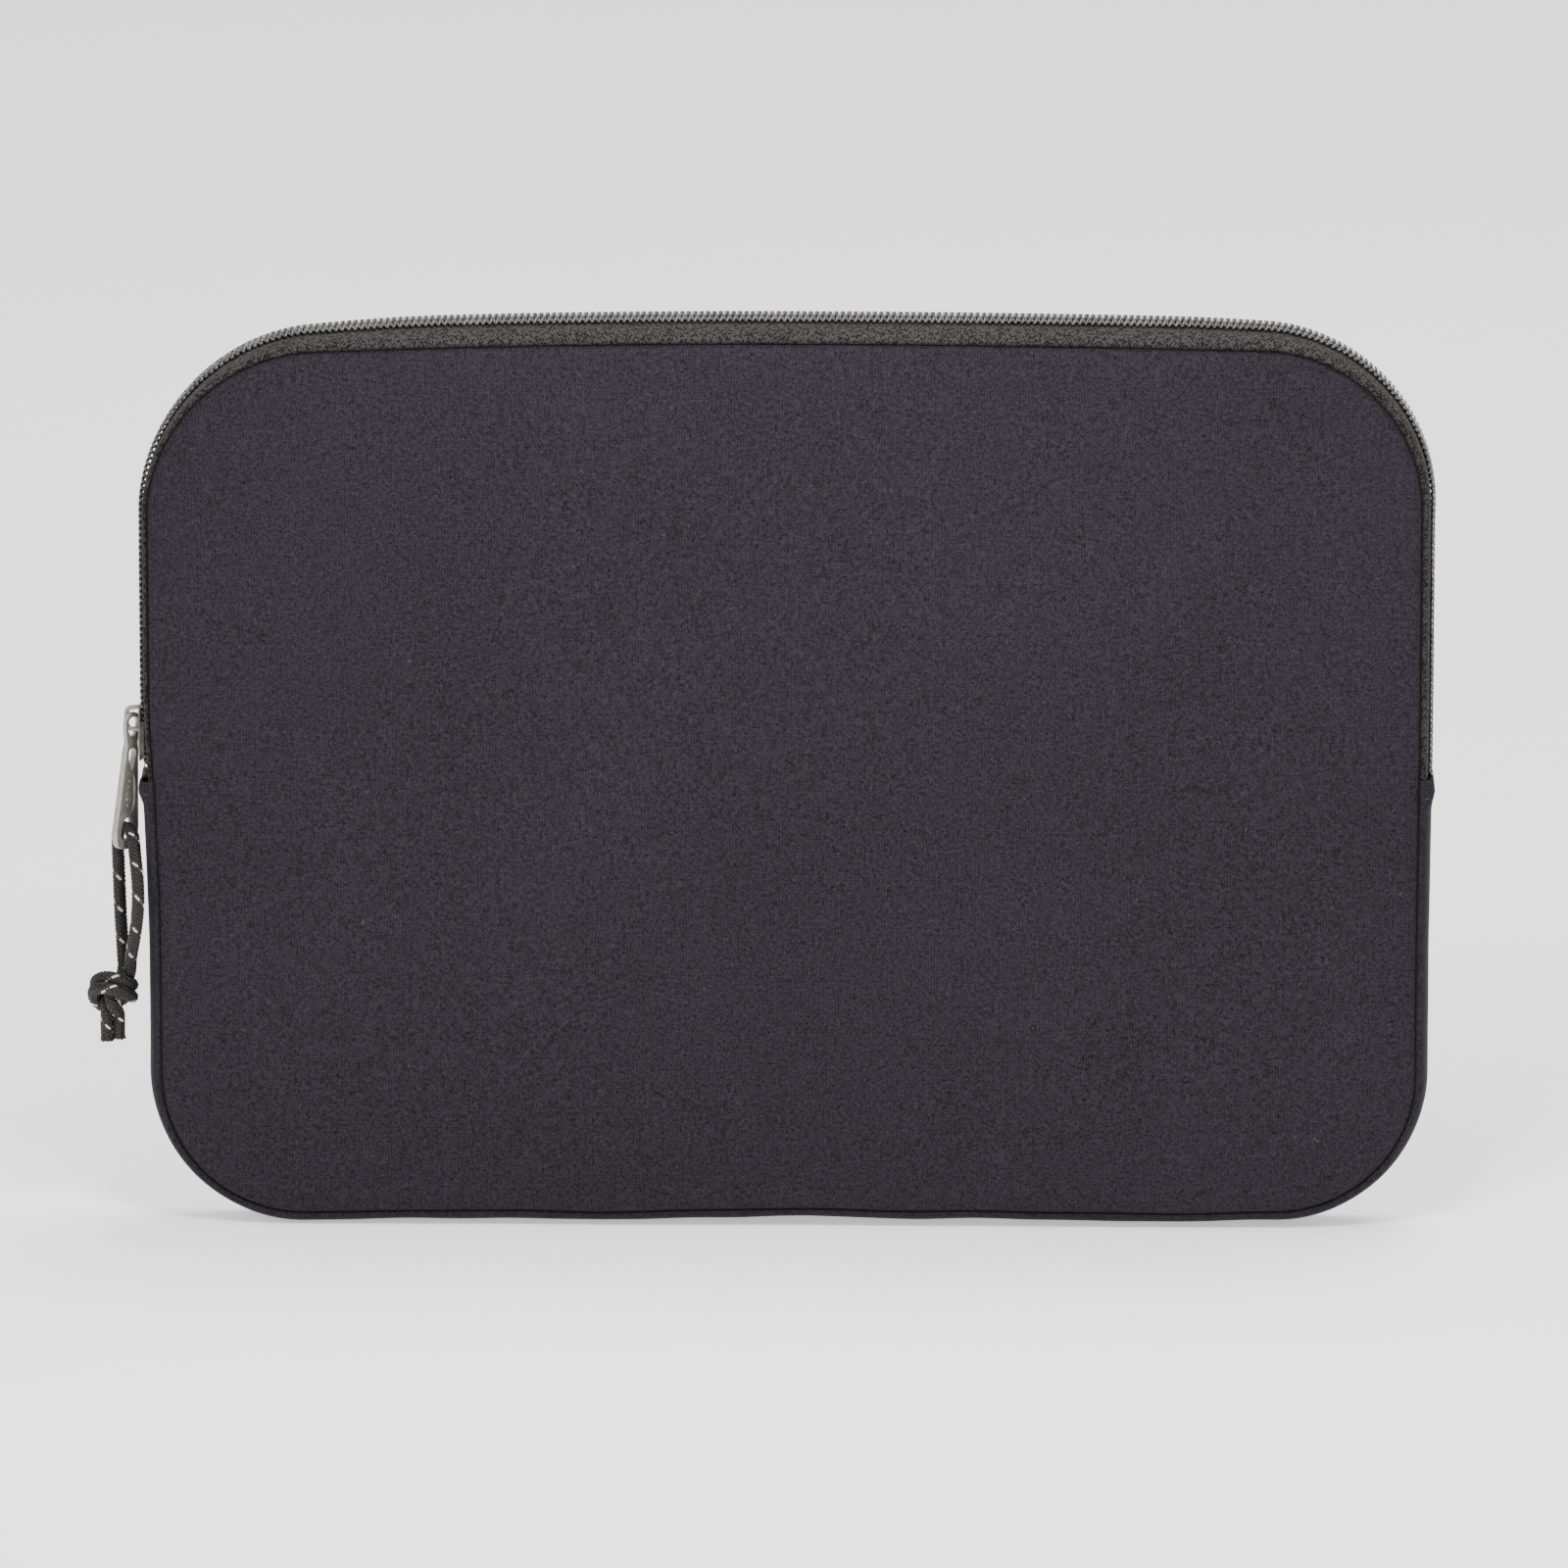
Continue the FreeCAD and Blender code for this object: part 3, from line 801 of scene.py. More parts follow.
def settled(side, points):
    # the face cloth, held along its seam and filled out from below, settles over its pad
    _, insets, faces = panelPlan
    wound = [tuple(f) if side < 0 else tuple(reversed(f)) for f in faces]
    sheet = newObject("faceCloth", meshFrom("faceCloth", points, wound), knit)
    held = sheet.vertex_groups.new(name="held")
    for i, inset in enumerate(insets):
        held.add([i], lerp(1.0, cloth["hold"], smoothStep(1.0, 14.0, inset)), "REPLACE")
    modifier = sheet.modifiers.new("cloth", "CLOTH")
    settings = modifier.settings
    settings.quality = cloth["quality"]
    settings.mass = cloth["mass"]
    settings.tension_stiffness = cloth["stretch"]
    settings.compression_stiffness = cloth["stretch"]
    settings.bending_stiffness = cloth["bending"]
    settings.shrink_min = -cloth["slack"]
    settings.use_pressure = True
    settings.uniform_pressure_force = cloth["pressure"]
    settings.vertex_group_mass = "held"
    settings.effector_weights.gravity = 0.0
    modifier.point_cache.frame_start = 1
    modifier.point_cache.frame_end = cloth["frames"]
    scene = bpy.context.scene
    for number in range(1, cloth["frames"] + 1):
        scene.frame_set(number)
    moved = bpy.data.meshes.new_from_object(sheet.evaluated_get(bpy.context.evaluated_depsgraph_get()))
    out = []
    for p, v, inset in zip(points, moved.vertices, insets):
        step = v.co - p
        cap = cloth["cap"] * smoothStep(0.5, 12.0, inset)
        out.append(p + step * (cap / max(step.length + cap, 1e-9)))
    print("cloth moved up to", round(max((b - a).length for a, b in zip(points, out)) / mm, 2), "mm")
    scene.frame_set(1)
    bpy.data.objects.remove(sheet)
    return out


def panelMesh(name, outer, inner):
    _, insets, faces = panelPlan
    edge = {i for i, d in enumerate(insets) if d < 1e-6}
    count = len(outer)
    allFaces = [tuple(f) for f in faces]
    allFaces += [tuple(count + i for i in reversed(f)) for f in faces]
    links = {}
    for f in faces:
        for a, b in zip(f, list(f[1:]) + [f[0]]):
            if a in edge and b in edge:
                key = (min(a, b), max(a, b))
                links[key] = links.get(key, 0) + 1
    for (a, b), uses in links.items():
        if uses == 1:
            allFaces.append((a, b, count + b, count + a))
    mesh = meshFrom(name, outer + inner, allFaces)
    faceOutward(mesh)
    return mesh


def makePanels():
    def faceAt(inset, x, z):
        return rollDepth(inset) + (panel["crown"] + swell(x, z)) * smoothStep(2.0, 30.0, inset)

    def level(offset):
        return lambda inset, x, z: panel["innerDepth"] - offset

    for half, side in (("front", -1), ("back", 1)):
        face = settled(side, sheetPoints(side, faceAt))
        mesh = panelMesh(half + "Panel", face, sheetPoints(side, level(0.0)))
        piece = newObject(half + "Panel", mesh, knit)
        faces = [sheetPoints(side, level(lift)) for lift in panel["liningLift"]]
        mesh = panelMesh(half + "Lining", *faces)
        lining = newObject(half + "Lining", mesh, liningCloth)
        if half == "front":
            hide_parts("front_face_lower", "front_face_upper",
                        "front_foam_lower", "front_foam_upper")
            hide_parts("front_lining_lower", "front_lining_upper")
        else:
            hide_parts("back_face", "back_foam")
            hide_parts("back_lining")
        follow(piece, half)
        follow(lining, half)


makePanels()
print("panels done")


# Zip tapes

tape = {"thickness": 0.45 * mm}


def makeTapes():
    for half in ("front", "back"):
        name = "zipTape" + half.capitalize()
        mesh = stripMesh(name, zipRun, lambda share, h=half: finer(bandAt(share, h)), tape["thickness"])
        piece = newObject(name, mesh, tapeCloth)
        if half == "front":
            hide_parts("zip_tape_front", "zip_tape_front_ends")
        else:
            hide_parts("zip_tape_back")
        follow(piece, half)


makeTapes()
print("zip tapes done")


# Lower gusset

gusset = {
    "rows": [(-0.5, -7.6), (0.1, -8.6), (0.6, -9.2), (1.6, -9.0), (2.6, -7.4), (3.2, -4.8), (3.5, -2.2),
             (3.5, 0.0), (3.5, 2.2), (3.2, 4.8), (2.6, 7.4), (1.6, 9.0), (0.6, 9.2), (0.1, 8.6), (-0.5, 7.6)],
    "thickness": 2.2 * mm,
}


def gussetRows(share):
    low = math.sin(math.pi * share)
    wave = 0.25 * math.sin(share * 61.0) * low + 0.15 * math.sin(share * 133.0 + 1.0) * low
    rows = []
    for r, y in gusset["rows"]:
        swellOut = max(0.0, r) / 3.5
        rows.append(((r - 0.35 * low * swellOut + wave * swellOut * 0.5) * mm, y * mm))
    return finer(rows)


def makeGusset():
    mesh = stripMesh("lowerGusset", gussetRun, gussetRows, gusset["thickness"])
    piece = newObject("lowerGusset", mesh, knitGusset)
    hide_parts("gusset_face", "gusset_foam", "gusset_lining")
    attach(piece, "shell")


makeGusset()
print("gusset done")


# Trees that set repeated pieces along a rail, or wind yarns round it

def makeTree(name, inputs, build):
    tree = bpy.data.node_groups.new(name, "GeometryNodeTree")
    tree.interface.new_socket("Geometry", in_out="OUTPUT", socket_type="NodeSocketGeometry")
    tree.interface.new_socket("Rail", in_out="INPUT", socket_type="NodeSocketGeometry")
    for key, kind in inputs.items():
        tree.interface.new_socket(key, in_out="INPUT", socket_type="NodeSocket" + kind)
    kit = NodeKit(tree)
    source = tree.nodes.new("NodeGroupInput")
    given = {s.name: Sock(kit, s) for s in source.outputs if s.name}
    sink = tree.nodes.new("NodeGroupOutput")
    tree.links.new(build(kit, given).socket, sink.inputs[0])
    return tree


def grow(name, rail, tree, values):
    # runs the tree on a rail mesh and keeps the plain mesh that comes out
    holder = linked(name + "Rail", rail)
    modifier = holder.modifiers.new("grow", "NODES")
    modifier.node_group = tree
    for item in tree.interface.items_tree:
        if item.in_out == "INPUT" and item.name in values:
            modifier[item.identifier] = values[item.name]
    return linked(name, takeMesh(holder))


def railMesh(name, points, outward=None):
    mesh = bpy.data.meshes.new(name)
    mesh.from_pydata([tuple(p) for p in points], [(i, i + 1) for i in range(len(points) - 1)], [])
    if outward:
        layer = mesh.attributes.new("outward", "FLOAT_VECTOR", "POINT")
        for item, normal in zip(layer.data, outward):
            item.vector = normal
    return mesh


def setAlong(kit, given, instance):
    # one instance per pitch, its z along the rail and its y outward
    curve = kit.add("GeometryNodeMeshToCurve", {}, [given["Rail"]])
    curve = kit.add("GeometryNodeResampleCurve", {"mode": "LENGTH"},
                    {"Curve": curve, "Length": given["Pitch"]})
    tangent = kit.add("GeometryNodeInputTangent")
    outward = kit.add("GeometryNodeInputNamedAttribute", {"data_type": "FLOAT_VECTOR"}, {"Name": "outward"})
    turn = kit.add("FunctionNodeAxesToRotation", {"primary_axis": "Z", "secondary_axis": "Y"},
                   [tangent, outward])
    placed = kit.add("GeometryNodeInstanceOnPoints", {},
                     {"Points": curve, "Instance": instance, "Rotation": turn})
    jitter = kit.add("FunctionNodeRandomValue", {"data_type": "FLOAT_VECTOR"},
                     {0: (-1.0, -1.0, -1.0), 1: (1.0, 1.0, 1.0), "Seed": 11})
    swing = kit.add("ShaderNodeVectorMath", {"operation": "SCALE"}, {0: jitter, "Scale": given["Jitter"]})
    placed = kit.add("GeometryNodeRotateInstances", {}, {"Instances": placed, "Rotation": swing})
    solid = kit.add("GeometryNodeRealizeInstances", {}, [placed])
    return kit.add("GeometryNodeSetMaterial", {}, {"Geometry": solid, "Material": given["Material"]})


def loopTree(kit, given):
    # one turn of a flattened helix of round wire
    turn = kit.add("GeometryNodeCurveSpiral", {}, {"Resolution": 9, "Rotations": 1.0, "Start Radius": 1.0,
                                                   "End Radius": 1.0, "Height": given["Pitch"]})
    scale = kit.add("ShaderNodeCombineXYZ", {}, [given["Reach"], given["Rise"], 1.0])
    shift = kit.add("ShaderNodeCombineXYZ", {}, [0.0, 0.0, given["Phase"]])
    turn = kit.add("GeometryNodeTransform", {}, {"Geometry": turn, "Scale": scale, "Translation": shift})
    wire = kit.add("GeometryNodeCurvePrimitiveCircle", {}, {"Resolution": 5, "Radius": given["Wire"]})
    loop = kit.add("GeometryNodeCurveToMesh", {}, {"Curve": turn, "Profile Curve": wire})
    loop = kit.add("GeometryNodeSetShadeSmooth", {}, [loop])
    return setAlong(kit, given, loop)


def stitchTree(kit, given):
    # a short tapered length of thread that dips into the cloth at both ends
    half = given["Length"] * 0.5
    start = kit.add("ShaderNodeCombineXYZ", {}, [0.0, 0.0, half * -1.0])
    end = kit.add("ShaderNodeCombineXYZ", {}, [0.0, 0.0, half])
    line = kit.add("GeometryNodeCurvePrimitiveLine", {}, {"Start": start, "End": end})
    line = kit.add("GeometryNodeResampleCurve", {"mode": "COUNT"}, {"Curve": line, "Count": 6})
    part = kit.add("GeometryNodeSplineParameter")
    arch = (part * math.pi).sine()
    lift = kit.add("ShaderNodeCombineXYZ", {}, [0.0, (arch - 0.8) * given["Thickness"] * 1.4, 0.0])
    line = kit.add("GeometryNodeSetPosition", {}, {"Geometry": line, "Offset": lift})
    line = kit.add("GeometryNodeSetCurveRadius", {}, {"Curve": line, "Radius": 0.45 + 0.55 * arch})
    ring = kit.add("GeometryNodeCurvePrimitiveCircle", {}, {"Resolution": 6, "Radius": given["Thickness"]})
    stitch = kit.add("GeometryNodeCurveToMesh", {},
                     {"Curve": line, "Profile Curve": ring, "Fill Caps": True})
    stitch = kit.add("GeometryNodeSetShadeSmooth", {}, [stitch])
    return setAlong(kit, given, stitch)


def braidTree(kit, given):
    # yarns wound both ways round the rail, each over two and under two, with a plain core inside
    curve = kit.add("GeometryNodeMeshToCurve", {}, [given["Rail"]])
    curve = kit.add("GeometryNodeResampleCurve", {"mode": "LENGTH"},
                    {"Curve": curve, "Length": given["Step"]})
    copies = kit.add("GeometryNodeDuplicateElements", {"domain": "SPLINE"},
                     {"Geometry": curve, "Amount": 16})
    number = copies.out("Duplicate Index")
    numbered = kit.add("GeometryNodeStoreNamedAttribute", {"data_type": "FLOAT", "domain": "CURVE"},
                       {"Geometry": copies, "Name": "yarn", "Value": number})
    number = kit.add("GeometryNodeInputNamedAttribute", {"data_type": "FLOAT"}, {"Name": "yarn"})
    backward = number > 7.5
    way = 1.0 - 2.0 * backward
    seat = number - 8.0 * backward
    along = kit.add("GeometryNodeSplineParameter").out("Length")
    whole = kit.add("GeometryNodeSplineLength")
    crossing = along / given["Lay"] * 16.0
    angle = (way * along / given["Lay"] + seat / 8.0) * math.tau
    phase = 2.0 * seat + way * crossing
    lift = way * ((phase - 0.5) * (math.pi / 2)).cosine()
    chance = kit.add("FunctionNodeRandomValue", {"data_type": "FLOAT"},
                     {2: 0.0, 3: 1.0, "ID": number, "Seed": 5})
    tip = along.least(whole - along)
    fray = (1.0 - tip / given["Fray"]).most(0.0) * chance
    radius = given["Radius"] + given["Weave"] * lift + fray * given["Fray"] * 0.35
    tangent = kit.add("GeometryNodeInputTangent")
    normal = kit.add("GeometryNodeInputNormal")
    side = kit.add("ShaderNodeVectorMath", {"operation": "CROSS_PRODUCT"}, [tangent, normal])
    scale = {"operation": "SCALE"}
    reachA = kit.add("ShaderNodeVectorMath", scale, {0: normal, "Scale": radius * angle.cosine()})
    reachB = kit.add("ShaderNodeVectorMath", scale, {0: side, "Scale": radius * angle.sine()})
    offset = kit.add("ShaderNodeVectorMath", {"operation": "ADD"}, [reachA, reachB])
    wound = kit.add("GeometryNodeSetPosition", {}, {"Geometry": numbered, "Offset": offset})
    ring = kit.add("GeometryNodeCurvePrimitiveCircle", {}, {"Resolution": 5, "Radius": given["Yarn"]})
    yarns = kit.add("GeometryNodeCurveToMesh", {},
                    {"Curve": wound, "Profile Curve": ring, "Fill Caps": True})
    ring = kit.add("GeometryNodeCurvePrimitiveCircle", {}, {"Resolution": 8, "Radius": given["Core"]})
    core = kit.add("GeometryNodeCurveToMesh", {},
                   {"Curve": curve, "Profile Curve": ring, "Fill Caps": True})
    yarns = kit.add("GeometryNodeSetMaterial", {}, {"Geometry": yarns, "Material": given["Material"]})
    isTracer = kit.add("GeometryNodeInputNamedAttribute", {"data_type": "FLOAT"}, {"Name": "yarn"}) > 14.5
    yarns = kit.add("GeometryNodeSetMaterial", {}, {"Geometry": yarns, "Selection": isTracer,
                                                    "Material": given["Tracer"]})
    core = kit.add("GeometryNodeSetMaterial", {}, {"Geometry": core, "Material": given["Material"]})
    both = kit.add("GeometryNodeJoinGeometry", {}, [core])
    kit.tree.links.new(yarns.socket, both.socket.node.inputs[0])
    return kit.add("GeometryNodeSetShadeSmooth", {}, [both])


coilLoops = makeTree("coilLoops", {"Pitch": "Float", "Reach": "Float", "Rise": "Float", "Wire": "Float",
                                   "Phase": "Float", "Jitter": "Float", "Material": "Material"}, loopTree)
threadStitches = makeTree("threadStitches", {"Pitch": "Float", "Length": "Float", "Thickness": "Float",
                                             "Jitter": "Float", "Material": "Material"}, stitchTree)
braidedCord = makeTree("braidedCord", {"Step": "Float", "Lay": "Float", "Radius": "Float", "Weave": "Float",
                                       "Yarn": "Float", "Core": "Float", "Fray": "Float",
                                       "Material": "Material", "Tracer": "Material"}, braidTree)
print("trees done")


# Zip coil and its stitching

coil = {
    "pitch": 1.7 * mm,
    "centre": 1.36 * mm,         # middle of each row of loops, from the middle of the chain
    "reach": 1.40 * mm,
    "rise": 0.36 * mm,
    "wire": 0.45 * mm,
    "lift": 0.74 * mm,           # middle of the coil above the tape's edge
    "footLeft": 123.8 * mm,
    "footRight": 122.4 * mm,
    "threadFrom": 2.55 * mm,
    "threadLift": 1.20 * mm,
    "threadRadius": 0.16 * mm,
    "threadLength": 1.3 * mm,
    "jitter": 0.03,
    "threadJitter": 0.08,
}


def chainRail(name, side, offAcross, offOut, shift=0.0):
    # a line beside the middle of the chain: side -1 is the front half and 1 the back half
    lengths = lengthsAlong(zipRun)
    points, outward = [], []
    for i, length in zip(zipRun, lengths):
        share = length / lengths[-1]
        x, z = rim[i]
        if (x < 0 and z < coil["footLeft"]) or (x > 0 and z < coil["footRight"]):
            continue
        (r, y), across = chainFrame(share)
        out = Vector((across.y, -across.x))
        r += out.x * offOut + across.x * side * offAcross
        y += out.y * offOut + across.y * side * offAcross
        points.append(onRim(i, r, y))
        n = rimNormals[i]
        outward.append(Vector((n.x * out.x, out.y, n.y * out.x)).normalized())
    return railMesh(name, points, outward)


def makeCoils():
    for half, side in (("front", -1), ("back", 1)):
        cap = half.capitalize()
        rail = chainRail("coilRail" + cap, side, coil["centre"], coil["lift"])
        piece = grow("zipCoil" + cap, rail, coilLoops, {
            "Pitch": coil["pitch"], "Reach": coil["reach"], "Rise": coil["rise"], "Wire": coil["wire"],
            "Phase": coil["pitch"] * (0.0 if side < 0 else 0.5), "Jitter": coil["jitter"],
            "Material": coilNylon})
        rail = chainRail("threadRail" + cap, side, coil["threadFrom"], coil["threadLift"])
        stitches = grow("coilStitches" + cap, rail, threadStitches, {
            "Pitch": coil["pitch"], "Length": coil["threadLength"], "Thickness": coil["threadRadius"],
            "Jitter": coil["threadJitter"], "Material": stitchThread})
        if half == "front":
            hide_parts("zip_coil_front", "zip_coil_front_ends")
            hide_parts("coil_thread_front", "coil_thread_front_ends")
        else:
            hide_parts("zip_coil_back")
            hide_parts("coil_thread_back")
        follow(piece, half)
        follow(stitches, half)


makeCoils()
print("coils done")


# Folded gusset ends over the ends of the zip

endTab = {
    "low": 113.5 * mm,
    "highLeft": 121.5 * mm,
    "highRight": 122.6 * mm,
    "thickness": 0.9 * mm,
    "stitchPitch": 2.2 * mm,
    "stitchLength": 1.8 * mm,
    "stitchRadius": 0.2 * mm,
    "stitchJitter": 0.06,
    "stitchHeight": 0.55,        # place of the row of stitches, as a share of the tab
    "stitchMargin": 5,           # points of the rail left bare at each side
    "cap": [(-0.5, -7.8), (0.1, -8.8), (0.6, -9.6), (2.3, -9.5), (4.0, -8.2), (4.3, -5.4), (4.2, -2.4),
            (4.1, 0.0), (4.2, 2.4), (4.3, 5.4), (4.0, 8.2), (2.3, 9.5), (0.6, 9.6), (0.1, 8.8), (-0.5, 7.8)],
}


def tabRows(share):
    # share 0 is the lower edge, level with the gusset; share 1 the folded edge over the ends of the tapes
    rows = []
    roll = 1.0 - smoothStep(0.72, 1.0, share) * 0.55
    for (r, y), (capR, capY) in zip(gusset["rows"], endTab["cap"]):
        t = smoothStep(0.0, 0.7, share)
        tucked = (r + 0.5) / 4.0
        rows.append(((lerp(r, capR, t) - (1.0 - roll) * tucked) * mm, lerp(y, capY, t) * mm))
    return finer(rows, 2)


def acrossRail(name, i, lift):
    # a line over the tab from front to back, for its row of stitches
    points, outward = [], []
    rows = [(lerp(a[0], b[0], 0.5), lerp(a[1], b[1], 0.5)) for a, b in zip(gusset["rows"], endTab["cap"])]
    rows = finer(rows[2:-2], 4)
    for k in range(endTab["stitchMargin"], len(rows) - endTab["stitchMargin"]):
        slope = Vector((rows[k + 1][0] - rows[k - 1][0], rows[k + 1][1] - rows[k - 1][1])).normalized()
        out = Vector((slope.y, -slope.x))
        points.append(onRim(i, (rows[k][0] + out.x * lift) * mm, (rows[k][1] + out.y * lift) * mm))
        n = rimNormals[i]
        outward.append(Vector((n.x * out.x, out.y, n.y * out.x)).normalized())
    return railMesh(name, points, outward)


def makeEndTabs():
    stitches = []
    for side, high in (("Left", endTab["highLeft"]), ("Right", endTab["highRight"])):
        x = outline["halfWidth"] * (-1 if side == "Left" else 1)
        low, top = nearest(x, endTab["low"]), nearest(x, high)
        run = runBetween(low, top) if side == "Left" else list(reversed(runBetween(top, low)))
        mesh = stripMesh("zipEndTab" + side, run, tabRows, endTab["thickness"])
        piece = newObject("zipEndTab" + side, mesh, knitGusset)
        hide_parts("zip_end_tab_" + side.lower())
        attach(piece, "shell")
        row = nearest(x, lerp(endTab["low"], high, endTab["stitchHeight"]))
        rail = acrossRail("tabRail" + side, row, 0.1)
        stitches.append(grow("tabStitches" + side, rail, threadStitches, {
            "Pitch": endTab["stitchPitch"], "Length": endTab["stitchLength"],
            "Thickness": endTab["stitchRadius"], "Jitter": endTab["stitchJitter"], "Material": seamThread}))
    for piece in stitches:
        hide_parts("tab_threads")
        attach(piece, "shell")


makeEndTabs()
print("end tabs done")


# Binding and seam stitches inside the pocket

binding = {
    "rows": [(-0.5, -7.7), (-0.6, -7.1), (-1.4, -6.85), (-2.6, -6.85), (-3.5, -7.1), (-3.7, -7.6)],
    "thickness": 0.7 * mm,
    "stitchFrom": -2.1 * mm,
    "stitchDepth": 6.80 * mm,
    "stitchPitch": 2.8 * mm,
    "stitchLength": 2.2 * mm,
    "stitchRadius": 0.16 * mm,
    "stitchJitter": 0.04,
}


def makeBindings():
    allRound = runBetween(leftZipEnd, (leftZipEnd + 1) % rimCount)
    for half, side in (("front", -1), ("back", 1)):
        cap = half.capitalize()
        rows = [(r * mm, -side * y * mm) for r, y in binding["rows"]]
        mesh = stripMesh("binding" + cap, allRound, lambda share, k=rows: finer(k, 2), binding["thickness"])
        piece = newObject("binding" + cap, mesh, bindingCloth)
        places = [onRim(i, binding["stitchFrom"], side * binding["stitchDepth"]) for i in allRound[::2]]
        rail = railMesh("seamRail" + cap, places, [(0, -side, 0)] * len(places))
        stitches = grow("seamStitches" + cap, rail, threadStitches, {
            "Pitch": binding["stitchPitch"], "Length": binding["stitchLength"],
            "Thickness": binding["stitchRadius"], "Jitter": binding["stitchJitter"], "Material": seamThread})
        if half == "front":
            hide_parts("binding_front_lower", "binding_front_upper")
            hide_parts("seam_thread_front_lower", "seam_thread_front_upper")
        else:
            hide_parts("binding_back")
            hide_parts("seam_thread_back")
        follow(piece, half)
        follow(stitches, half)


makeBindings()
print("bindings done")


# Pull

pull = {
    "outline": [(0, -0.6), (2.0, 0.1), (3.0, 2.2), (2.8, 5.0), (2.15, 7.6), (2.5, 11), (3.05, 17), (3.6, 23),
                (4.2, 29), (4.4, 32.4), (3.3, 35.9), (0, 36.9)],
    "ring": [(0, 0.7), (1.25, 0.95), (1.85, 2.3), (1.5, 4.6), (0, 6.1)],
    "drop": [(0, 9.2), (1.1, 9.8), (1.2, 11.2), (0.7, 13.6), (0, 15)],
    "cordHole": [(0, 28.1), (1.6, 29.1), (2.4, 31.3), (1.9, 33.6), (0, 34.5)],
    "sunk": [(0, 16.3), (1.2, 17.3), (1.7, 20), (1.9, 23.5), (1.4, 26.2), (0, 27.1)],
    "marks": [(18.2, 0.55), (19.9, 0.8), (21.6, 1.0), (23.3, 1.05), (25.0, 0.8)],
    "halfThickness": 0.9,
    "ringHalfThickness": 0.6,
    "sunkDepth": 0.28,
    "bevel": 0.26,
    "floorMiddle": 21.7,         # the sunk floor is a little larger than its opening, about this height
    "floorWider": 1.12,
    "floorLonger": 1.03,
    "markHalfHeight": 0.42,
    "markRise": 0.45,            # how far the marks stand below the face, as a share of the sunk depth
    "pivot": (-174.5 * mm, 0.0, 137.8 * mm),
    "twist": math.radians(-38),
    "lean": math.radians(4),
}


def closedOutline(half):
    # mirrors a half outline and runs a smooth closed line through it
    points = list(half) + [(-w, d) for w, d in reversed(half[1:-1])]
    count = len(points)
    parts = 5
    smooth = []
    for i in range(count):
        near = [points[(i + step) % count] for step in (-1, 0, 1, 2)]
        smooth.extend(smoothPoint(*near, k / parts) for k in range(parts))
    return smooth


def plateMesh(name, outlines, halfThickness, bevel):
    # a flat plate with holes and rounded edges, in its own plane, in mm
    curve = bpy.data.curves.new(name, "CURVE")
    curve.dimensions = "2D"
    curve.fill_mode = "BOTH"
    curve.extrude = halfThickness - bevel
    curve.bevel_depth = bevel
    curve.bevel_resolution = 3
    curve.offset = -bevel
    for points in outlines:
        spline = curve.splines.new("POLY")
        spline.points.add(len(points) - 1)
        for point, (w, d) in zip(spline.points, points):
            point.co = (w, -d, 0, 1)
        spline.use_cyclic_u = True
    return takeMesh(linked(name, curve))


def finishMetal(name, bm, material):
    mesh = bpy.data.meshes.new(name)
    bm.to_mesh(mesh)
    bm.free()
    for poly in mesh.polygons:
        poly.use_smooth = True
    mesh.set_sharp_from_angle(angle=math.radians(35))
    return newObject(name, mesh, material)


def makePull():
    p = pull
    lines = [closedOutline(p[key]) for key in ("outline", "ring", "drop", "cordHole", "sunk")]
    plate = plateMesh("pullPlate", lines, p["halfThickness"], p["bevel"])
    middle = p["floorMiddle"]
    floorLine = [(w * p["floorWider"], middle + (d - middle) * p["floorLonger"])
                 for w, d in closedOutline(p["sunk"])]
    floorPlate = plateMesh("pullFloor", [floorLine], p["halfThickness"] - p["sunkDepth"], 0.02)
    turns = [math.pi / 6 * k for k in range(12)]
    marks = [[(w * math.cos(a), d + p["markHalfHeight"] * math.sin(a)) for a in turns]
             for d, w in p["marks"]]
    markPlate = plateMesh("pullMarks", marks, p["halfThickness"] - p["markRise"] * p["sunkDepth"], 0.1)
    bm = bmesh.new()
    for mesh in (plate, floorPlate, markPlate):
        bm.from_mesh(mesh)
    bmesh.ops.remove_doubles(bm, verts=bm.verts, dist=0.001)
    for v in bm.verts:
        thin = lerp(p["ringHalfThickness"] / p["halfThickness"], 1.0, smoothStep(6.0, 10.0, -v.co.y))
        v.co = Vector((v.co.z * thin, v.co.x, v.co.y)) * mm
    bmesh.ops.recalc_face_normals(bm, faces=bm.faces)
    bm.transform(Matrix.Translation(p["pivot"]) @ Matrix.Rotation(p["lean"], 4, "Y")
                 @ Matrix.Rotation(p["twist"], 4, "Z"))
    piece = finishMetal("pull", bm, pullMetal)
    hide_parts("puller")
    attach(piece, "puller")


makePull()
print("pull done")


# Bail: a round wire arch on the slider

bail = {
    # distance outside the seam line, and height
    "arch": [(2.2, 133.7), (5.0, 133.7), (6.6, 134.0), (7.12, 135.3), (7.15, 136.8), (7.12, 138.3),
             (6.6, 139.5), (5.0, 139.8), (2.2, 139.8)],
    "wire": 0.62 * mm,
    "from": -169.0,
}


def makeBail():
    curve = bpy.data.curves.new("bail", "CURVE")
    curve.dimensions = "3D"
    curve.resolution_u = 8
    curve.bevel_depth = bail["wire"]
    curve.bevel_resolution = 4
    spline = curve.splines.new("NURBS")
    spline.points.add(len(bail["arch"]) - 1)
    for point, (r, z) in zip(spline.points, bail["arch"]):
        point.co = ((bail["from"] - r) * mm, 0, z * mm, 1)
    spline.order_u = 3
    spline.use_endpoint_u = True
    mesh = takeMesh(linked("bail", curve))
    faceOutward(mesh)
    for poly in mesh.polygons:
        poly.use_smooth = True
    piece = newObject("bail", mesh, bailMetal)
    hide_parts("slider_bail")
    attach(piece, "slider")


makeBail()
print("bail done")


